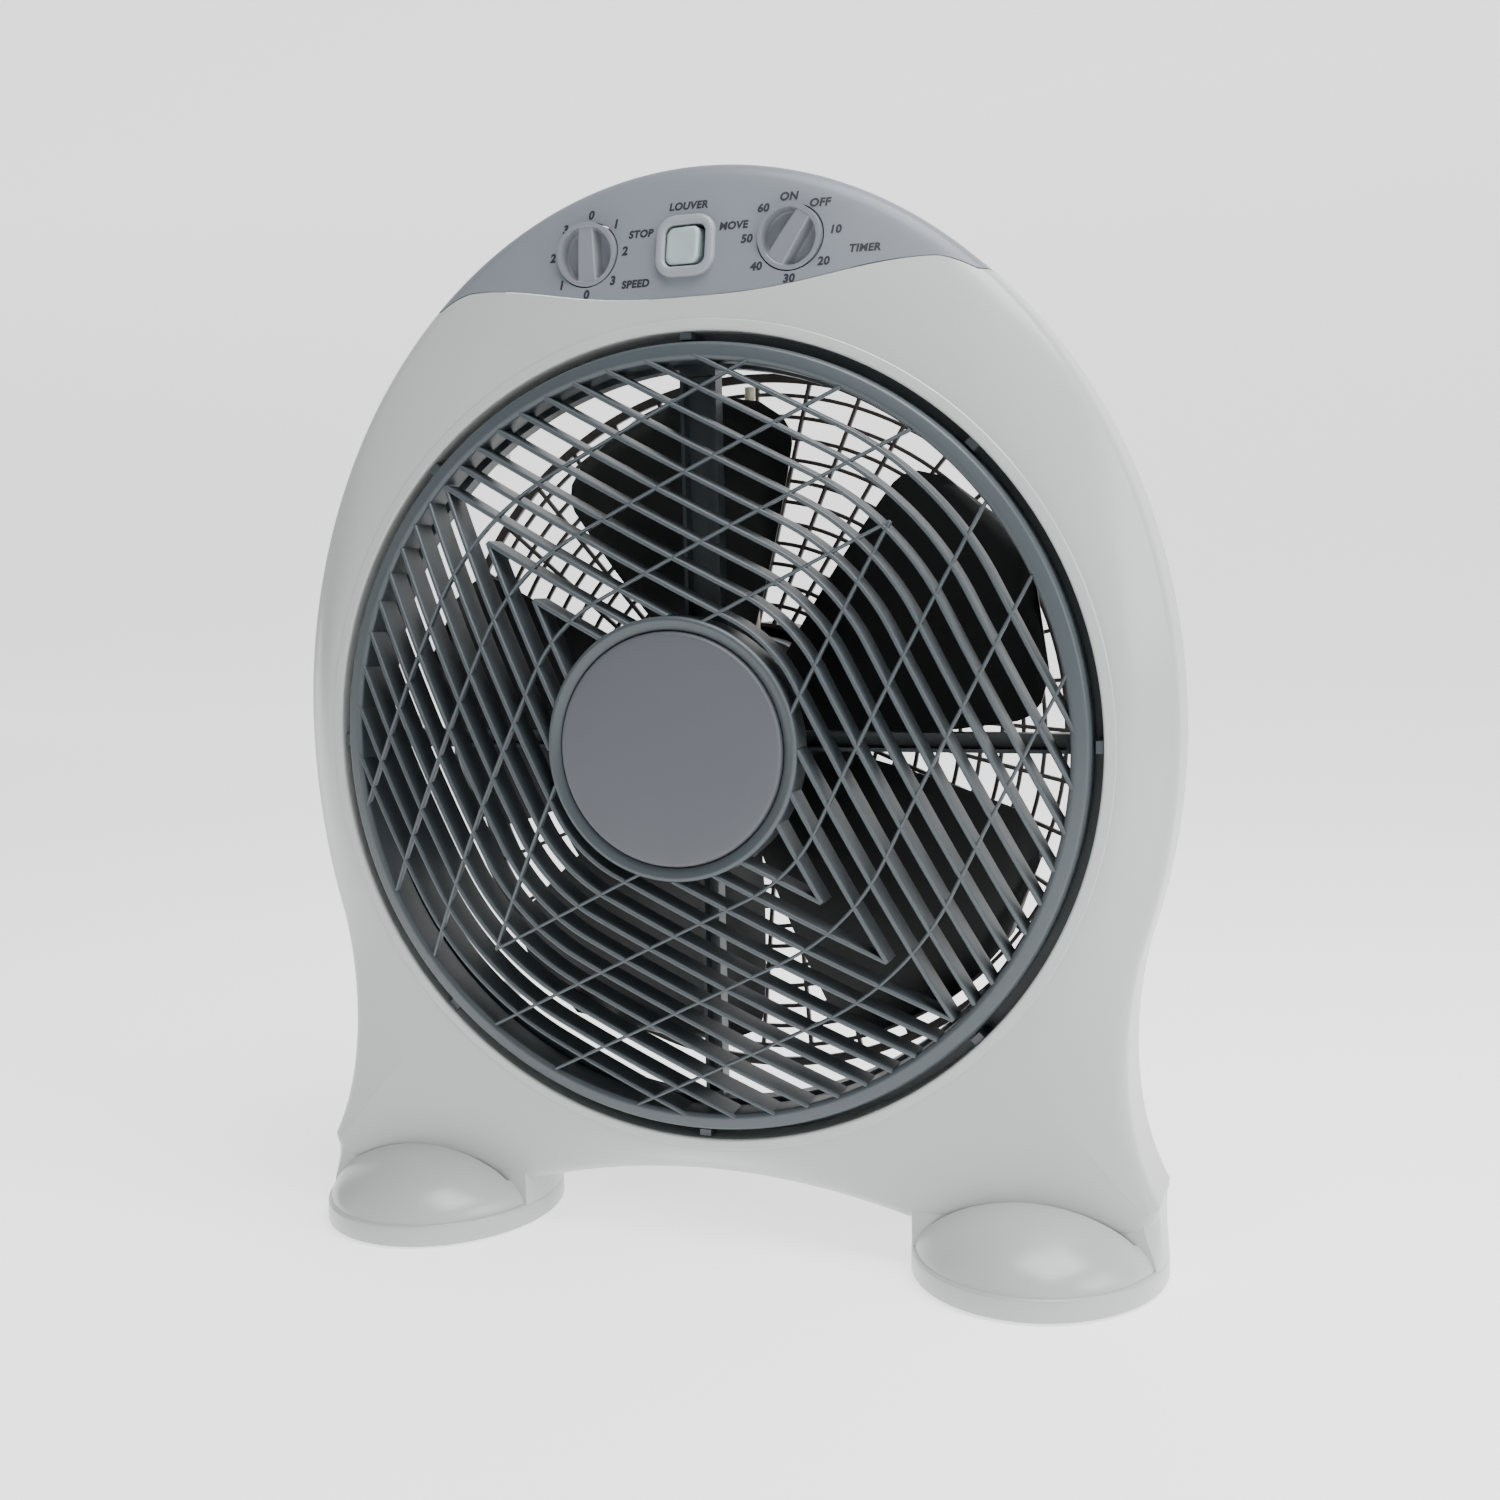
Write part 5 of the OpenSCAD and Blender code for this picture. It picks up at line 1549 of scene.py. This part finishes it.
@dataclass
class Controls:
    """The two knobs, the rocker and the printed dials.

    Attributes:
        layout: places from the frame.
        housing: the shells, for the skin that the controls stand on.
        knob_h: how far a knob stands proud of the skin at its axis.
        recess: depth of the scoops beside a knob's grip.
        grip_w: width of a knob's grip at its root.
        bezel_h: how far the rocker's frame stands proud of the skin.
        ink_swell: swelling of the type's outline, as a share of its size.
        ink_slant: slant of the type.
        ink_half: half the thickness of the ink.
        ink_lift: how far the ink's middle stands off the skin.
        timer_turn: angle of the timer's grip from upright, in degrees.
        tilt: tilt of the button to each side, in degrees.
    """

    layout: Layout
    housing: Housing
    knob_h: float = 2.6
    recess: float = 5.2
    grip_w: float = 6.4
    bezel_h: float = 2.4
    ink_swell: float = 0.046
    ink_slant: float = 0.14
    ink_half: float = 0.03
    ink_lift: float = 0.06
    timer_turn: float = 35.0
    tilt: float = 6.0

    def build(self) -> None:
        """Builds the controls and the print."""
        lay = self.layout
        self.knob("speed", -lay.knob_x, 0.0)
        self.knob("timer", lay.knob_x, self.timer_turn)
        self.bezel()
        self.button()
        self.print_dials()

    def knob(self, name: str, x: float, turn: float) -> None:
        """A round knob with a tapered grip between two scoops.

        Args:
            name: the word in its node's name.
            x: place of its axis.
            turn: angle of its grip from upright, clockwise in degrees.
        """
        lay = self.layout
        r = lay.knob_r
        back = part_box(f"{name}_knob")[1].y / MM - lay.rim_y
        front = self.housing.skin_depth(x, lay.panel_z) - self.knob_h
        around, spokes, wall = 128, 44, 1.3
        cosine, sine = math.cos(math.radians(turn)), math.sin(math.radians(turn))

        def depth(px: float, pz: float) -> float:
            """Depth of the knob's face.

            Args:
                px: place across the grip, from the axis.
                pz: place along the grip, from the axis.

            Returns:
                Depth behind the rim.
            """
            edge = math.hypot(px, pz)
            if edge > r - wall - 0.6:
                return front + 0.35 * max((edge - (r - wall * 0.5)) / wall, 0) ** 2
            width = self.grip_w / 2 * (1 - 0.16 * pz / r)
            off = max(abs(px) - width, 0)
            rise = min(off / 2.4, 1)
            near = min(max((r - wall - edge) / 1.6, 0), 1)
            drop = (3 * rise ** 2 - 2 * rise ** 3) * (near * near * (3 - 2 * near)) * self.recess
            top = 0.5 * (pz / r) ** 2 * (1 if off == 0 else 1 - rise)
            return front + top + drop

        rings = []
        for j in range(spokes + 1):
            share = j / spokes
            radius = r * share
            ring = []
            for k in range(around):
                a = 2 * math.pi * k / around
                px, pz = radius * math.cos(a), radius * math.sin(a)
                ring.append(lay.at(x + px * cosine + pz * sine, lay.panel_z - px * sine + pz * cosine,
                                   depth(px, pz)))
            rings.append(ring)
        for radius, d in ((r, front + 0.9), (r, back - 1.2), (r + 0.0, back - 0.4), (r - 0.4, back),
                          (0.01, back)):
            rings.append([lay.at(x + radius * math.cos(2 * math.pi * k / around),
                                 lay.panel_z + radius * math.sin(2 * math.pi * k / around),
                                 d) for k in range(around)])
        mesh = loft(rings, loop=False, caps=False)
        placed(f"{name}_knob_moulding", mesh, PALETTE.knob, f"{name}_dial", [f"{name}_knob"], 50)

    def _slanted(self, path: Sequence[tuple[float, float, float, float]], caps: bool) -> Mesh:
        """Joins round-cornered frames that lean with the skin.

        Args:
            path: width, height, corner radius and depth behind the skin of each frame.
            caps: True closes both ends, False joins the last frame to the first.

        Returns:
            Vertices and faces.
        """
        lay = self.layout
        skin = self.housing.skin_depth
        lean = (skin(0, lay.panel_z + 8) - skin(0, lay.panel_z - 8)) / 16
        start = skin(0, lay.panel_z)
        rings = [[lay.at(px, lay.panel_z + pz, start + lean * pz + d) for px,
                  pz in rounded_rectangle(w, h, r, 10)]
                 for w, h, r, d in path]
        return loft(rings, loop=not caps, caps=caps)

    def bezel(self) -> None:
        """The raised frame round the rocker."""
        side, top = self.layout.bezel, -self.bezel_h
        wide, high = self.layout.button + 2.0, self.layout.button + 1.4
        outer = [(side, 8.0, 1.5), (side, 8.0, top + 1.2), (side - 0.5, 7.8, top + 0.45),
                 (side - 1.6, 7.3, top)]
        path = [(s, s, r, d) for s, r, d in outer]
        path += [(wide + 2.4, high + 2.4, 4.8, top), (wide + 0.9, high + 0.9, 4.0, top + 0.25),
                 (wide + 0.1, high + 0.1, 3.7, top + 0.9), (wide, high, 3.6, top + 2), (wide, high, 3.6, 9.0),
                 (side - 5, side - 5, 5.5, 9.0), (side - 5, side - 5, 5.5, 1.5)]
        mesh = self._slanted(path, caps=False)
        placed("rocker_bezel_frame", mesh, PALETTE.bezel, "housing", ["rocker_bezel"], 60)

    def button(self) -> None:
        """The rocker's button, tilted to the left at rest, with a shallow dish in its face."""
        lay = self.layout
        low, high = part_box("rocker_button")[0] / MM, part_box("rocker_button")[1] / MM
        pivot = lay.panel + 2
        side = lay.button - 0.9
        face = -self.bezel_h + 0.3
        outline = [(0.02, 0.01, 0.45), (side * 0.35, 1.5, 0.38), (side * 0.62, 2.2, 0.18),
                   (side - 3, 2.9, 0.0),
                   (side - 1.6, 3.1, 0.06), (side - 0.6, 3.2, 0.4), (side - 0.1, 3.2, 1.1), (side, 3.2, 2.0),
                   (side, 3.2, 10.5)]
        body = self._slanted([(s, s + 0.9 * s / side, r, face + d) for s, r, d in outline], caps=True)
        pin = [(1.5 * math.cos(2 * math.pi * k / 24),
                1.5 * math.sin(2 * math.pi * k / 24)) for k in range(24)]
        rings = [[lay.at(px, z, pivot + py) for px, py in pin] for z in (low.z, high.z)]
        verts, faces = merged([body, loft(rings, loop=False, caps=True)])
        hinge = lay.at(0, lay.panel_z, pivot)
        lean = Matrix.Translation(hinge) @ Matrix.Rotation(math.radians(-self.tilt), 4,
                                                           "Z") @ Matrix.Translation(-hinge)
        placed("rocker_button_cap", ([lean @ v for v in verts], faces), PALETTE.button, "rocker",
               ["rocker_button"], 50)

    def _marks(self) -> list[Mark]:
        """Every word and number of the panel.

        Returns:
            The marks.
        """
        lay = self.layout
        marks = []
        for k, text in enumerate("01230123"):
            a = math.radians(90 - 45 * k)
            marks.append(Mark(text, -lay.knob_x + 17.0 * math.cos(a), lay.panel_z + 16.9 * math.sin(a)))
        dial = {"ON": 95, "OFF": 52, "10": 6, "20": -40, "30": -90, "40": -139, "50": 178, "60": 131}
        for text, degrees in dial.items():
            a = math.radians(degrees)
            marks.append(Mark(text, lay.knob_x + 18.4 * math.cos(a), lay.panel_z + 16.9 * math.sin(a), 4.6))
        words = {"LOUVER": (0, 16.6), "STOP": (-20.6, 6.6), "MOVE": (20.2, 6.6), "SPEED": (-22, -14.2),
                 "TIMER": (75, -6.5)}
        marks += [Mark(text, x, lay.panel_z + up, 4.3) for text, (x, up) in words.items()]
        return marks

    def print_dials(self) -> None:
        """Prints the marks: a thin layer of dark ink on the panel."""
        lay = self.layout
        meshes = []
        for mark in self._marks():
            curve = bpy.data.curves.new("ink", "FONT")
            curve.body = mark.text
            curve.size = mark.size * MM
            curve.shear = self.ink_slant
            curve.offset = self.ink_swell * mark.size * MM
            curve.extrude = self.ink_half * MM
            curve.resolution_u = 6
            curve.align_x = "CENTER"
            curve.align_y = "CENTER"
            curve.space_character = 1.08
            ink = bpy.data.objects.new("ink", curve)
            bpy.context.scene.collection.objects.link(ink)
            flat = bpy.data.meshes.new_from_object(ink.evaluated_get(bpy.context.evaluated_depsgraph_get()))
            points = []
            for v in flat.vertices:
                x, z = mark.x + v.co.x / MM, mark.z + v.co.y / MM
                points.append(lay.at(x, z, self.housing.skin_depth(x, z) - self.ink_lift - v.co.z / MM))
            meshes.append((points, [tuple(f.vertices) for f in flat.polygons]))
            bpy.data.objects.remove(ink)
            bpy.data.curves.remove(curve)
            bpy.data.meshes.remove(flat)
        placed("panel_print", merged(meshes), PALETTE.print, "housing")


# ---- screws --------------------------------------------------------------------------------
@dataclass
class Screws:
    """Pan head screws with a cross recess.

    Attributes:
        layout: places from the frame.
        housing: the shells, for the places of the case screws.
    """

    layout: Layout
    housing: Housing

    def build(self) -> None:
        """Builds the case screws and the grille screws."""
        lay = self.layout
        floor = lay.parting + 10
        spots = self.housing.screw_places()
        self._set("case_screw_set", "shell_screws", spots, 3.0, 2.4, 1.5, floor, floor - 28)
        low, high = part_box("grille_screws")[0] / MM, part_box("grille_screws")[1] / MM
        ring = lay.duct_r + 2.8
        spots = [Vector((ring * math.cos(a), lay.ring_z + ring * math.sin(a)))
                 for a in map(math.radians, (22, 67, 157, 202, 247, 337))]
        seat = high.y - lay.rim_y - 0.9
        self._set("grille_screw_set", "grille_screws", spots, 2.0, 0.9, 1.2, seat, low.y - lay.rim_y)

    def _set(self, name: str, node: str, spots: Sequence[Vector], head: float, height: float, shank: float,
             seat: float, tip: float) -> None:
        """One piece with every screw of a node.

        Args:
            name: the piece's name.
            node: the CAD node that it stands for.
            spots: places as x and z.
            head: radius of a head.
            height: height of a head.
            shank: radius of a shank.
            seat: depth of the face under the heads.
            tip: depth of the shanks' front ends.
        """
        lay = self.layout
        profile = [(0, tip), (shank, tip + 1), (shank, seat), (head, seat), (head, seat + height * 0.45)]
        profile += bezier(profile[-1], (head * 0.95, seat + height), (head * 0.5, seat + height),
                          (0, seat + height), 8)
        piece = placed(name, merged(lay.turned(profile, 40, p.x, p.y) for p in spots), PALETTE.screw,
                       "housing", [node])
        for wide, high in ((1.1, 0.3), (0.3, 1.1)):
            arm = rounded_rectangle(head * wide, head * high, 0.1, 2)
            carved(piece, [lay.stacked([(arm, seat + height * 0.5), (arm, seat + height + 0.5)], p.x, p.y)
                           for p in spots])


# ---- carried-over pieces -------------------------------------------------------------------
@dataclass(frozen=True)
class CarriedOver:
    """The CAD nodes that show as they are, and the finish that each one wears."""

    def dress(self) -> None:
        """Gives each node that shows its finish."""
        p = PALETTE
        wear = {
            "louver_screw": p.screw, "louver_shaft": p.bronze, "louver_motor": p.steel,
                "louver_guides": p.louver,
            "spider_frame": p.louver, "spinner_nut": p.blade, "motor_shaft": p.steel, "rotor_core": p.core,
            "motor_front_bell": p.alloy, "motor_rear_bell": p.alloy, "bearing_front": p.bronze,
            "bearing_rear": p.bronze, "stator_core": p.core, "stator_windings": p.copper,
                "motor_bolts": p.screw,
            "speed_shaft": p.steel, "speed_switch": p.dark, "timer_shaft": p.steel, "timer_case": p.cream,
            "rocker_switch": p.dark, "run_capacitor": p.cream, "terminal_block": p.cream,
                "motor_lead": p.cream,
            "foot_screws": p.screw,
        }
        for name, finish in wear.items():
            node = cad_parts[name]
            material = PALETTE.get(finish)
            if not node.data.materials:
                node.data.materials.append(material)
            for k in range(len(node.data.materials)):
                node.data.materials[k] = material
            LOG.info("%s keeps its CAD shape and wears %s", name, material.name)


# ---- studio --------------------------------------------------------------------------------
@dataclass
class Studio:
    """The camera, the pale floor and the soft lights.

    Attributes:
        layout: places from the frame.
        eye: the camera's place as x, distance in front of the rim, and height.
        yaw: how far the camera looks to the left, in degrees.
        pitch: how far it looks down, in degrees.
        roll: its lean, in degrees.
        lens: focal length for a 36 mm sensor.
        paper_glow: light that the paper gives off, as paper lit from its far side does.
    """

    layout: Layout
    eye: tuple[float, float, float] = (263.67, 675.55, 288.54)
    yaw: float = 19.46
    pitch: float = 5.60
    roll: float = -1.28
    lens: float = 41.77
    paper_glow: float = 1.25

    def build(self) -> None:
        """Sets the studio up."""
        self.camera()
        self.floor()
        self.lights()

    def camera(self) -> None:
        """Places the camera."""
        data = bpy.data.cameras.new("view")
        data.lens = self.lens
        data.sensor_width = 36
        data.clip_start = 0.01
        camera = bpy.data.objects.new("view", data)
        turn = (Matrix.Rotation(math.radians(self.yaw), 4,
                                "Z") @ Matrix.Rotation(math.radians(90 - self.pitch), 4, "X")
                @ Matrix.Rotation(math.radians(self.roll), 4, "Z"))
        camera.matrix_world = Matrix.Translation(self.layout.at(self.eye[0], self.eye[2],
                                                                -self.eye[1])) @ turn
        bpy.context.scene.collection.objects.link(camera)
        bpy.context.scene.camera = camera

    def floor(self) -> None:
        """A pale floor that sweeps up into a backdrop far behind the fan."""
        width, front, start, radius, height = 9.0, -6.0, 2.6, 1.6, 6.0
        line = [(front, 0.0), (start, 0.0)]
        for k in range(1, 25):
            a = math.radians(90 * k / 24)
            line.append((start + radius * math.sin(a), radius * (1 - math.cos(a))))
        line.append((start + radius, height))
        verts = [Vector((side * width, y, z)) for y, z in line for side in (-1, 1)]
        faces = [(2 * k, 2 * k + 1, 2 * k + 3, 2 * k + 2) for k in range(len(line) - 1)]
        data = bpy.data.meshes.new("studio_sweep")
        data.from_pydata([tuple(v) for v in verts], [], faces)
        data.shade_smooth()
        sweep = bpy.data.objects.new("studio_sweep", data)
        bpy.context.scene.collection.objects.link(sweep)
        paper = Finish("stage", (0.88, 0.88, 0.88), 0.9, Surface.PRINTED, grain=2.0, relief=0.01, mottle=0.0)
        lit = paper.material("sweep_paper")
        lit.node_tree.nodes["Principled BSDF"].inputs["Emission Color"].default_value = (1, 1, 1, 1)
        lit.node_tree.nodes["Principled BSDF"].inputs["Emission Strength"].default_value = self.paper_glow
        data.materials.append(lit)

    def lights(self) -> None:
        """Soft boxes above and to both sides, and an even sky."""
        world = bpy.data.worlds.new("sky")
        world.use_nodes = True
        world.node_tree.nodes["Background"].inputs["Color"].default_value = (0.97, 0.98, 1.0, 1)
        world.node_tree.nodes["Background"].inputs["Strength"].default_value = 0.12
        bpy.context.scene.world = world
        middle = self.layout.at(0, self.layout.ring_z, 0)
        self._box("top_box", Vector((0.45, -0.30, 1.45)), middle, 1.0, 34)
        self._box("right_box", Vector((1.7, -0.5, 0.8)), middle, 0.9, 16)
        self._box("left_box", Vector((-1.9, -0.7, 0.7)), middle, 1.2, 3)
        self._box("front_box", Vector((-0.3, -2.4, 0.9)), middle, 1.8, 1)

    def _box(self, name: str, place: Vector, target: Vector, size: float, power: float) -> None:
        """One square soft box that faces a target.

        Args:
            name: the light's name.
            place: where it stands, in metres.
            target: what it faces, in metres.
            size: length of its side, in metres.
            power: its power in watts.
        """
        data = bpy.data.lights.new(name, "AREA")
        data.size = size
        data.energy = power
        light = bpy.data.objects.new(name, data)
        light.location = place
        light.rotation_euler = (target - place).to_track_quat("-Z", "Y").to_euler()
        bpy.context.scene.collection.objects.link(light)


def main() -> None:
    """Builds the fan's pieces in order."""
    logging.basicConfig(level=logging.INFO, format="%(name)s: %(message)s")
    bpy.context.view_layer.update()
    layout = Layout.from_frame()
    Studio(layout).build()
    outline = BodyOutline(layout)
    housing = Housing(layout, outline, Seam(low=layout.ring_z + layout.open_r + 13.8))
    housing.build()
    Louver(layout).build()
    Impeller(layout).build()
    RearGuard(layout).build()
    Controls(layout, housing).build()
    Screws(layout, housing).build()
    CarriedOver().dress()


if __name__ == "__main__":
    main()
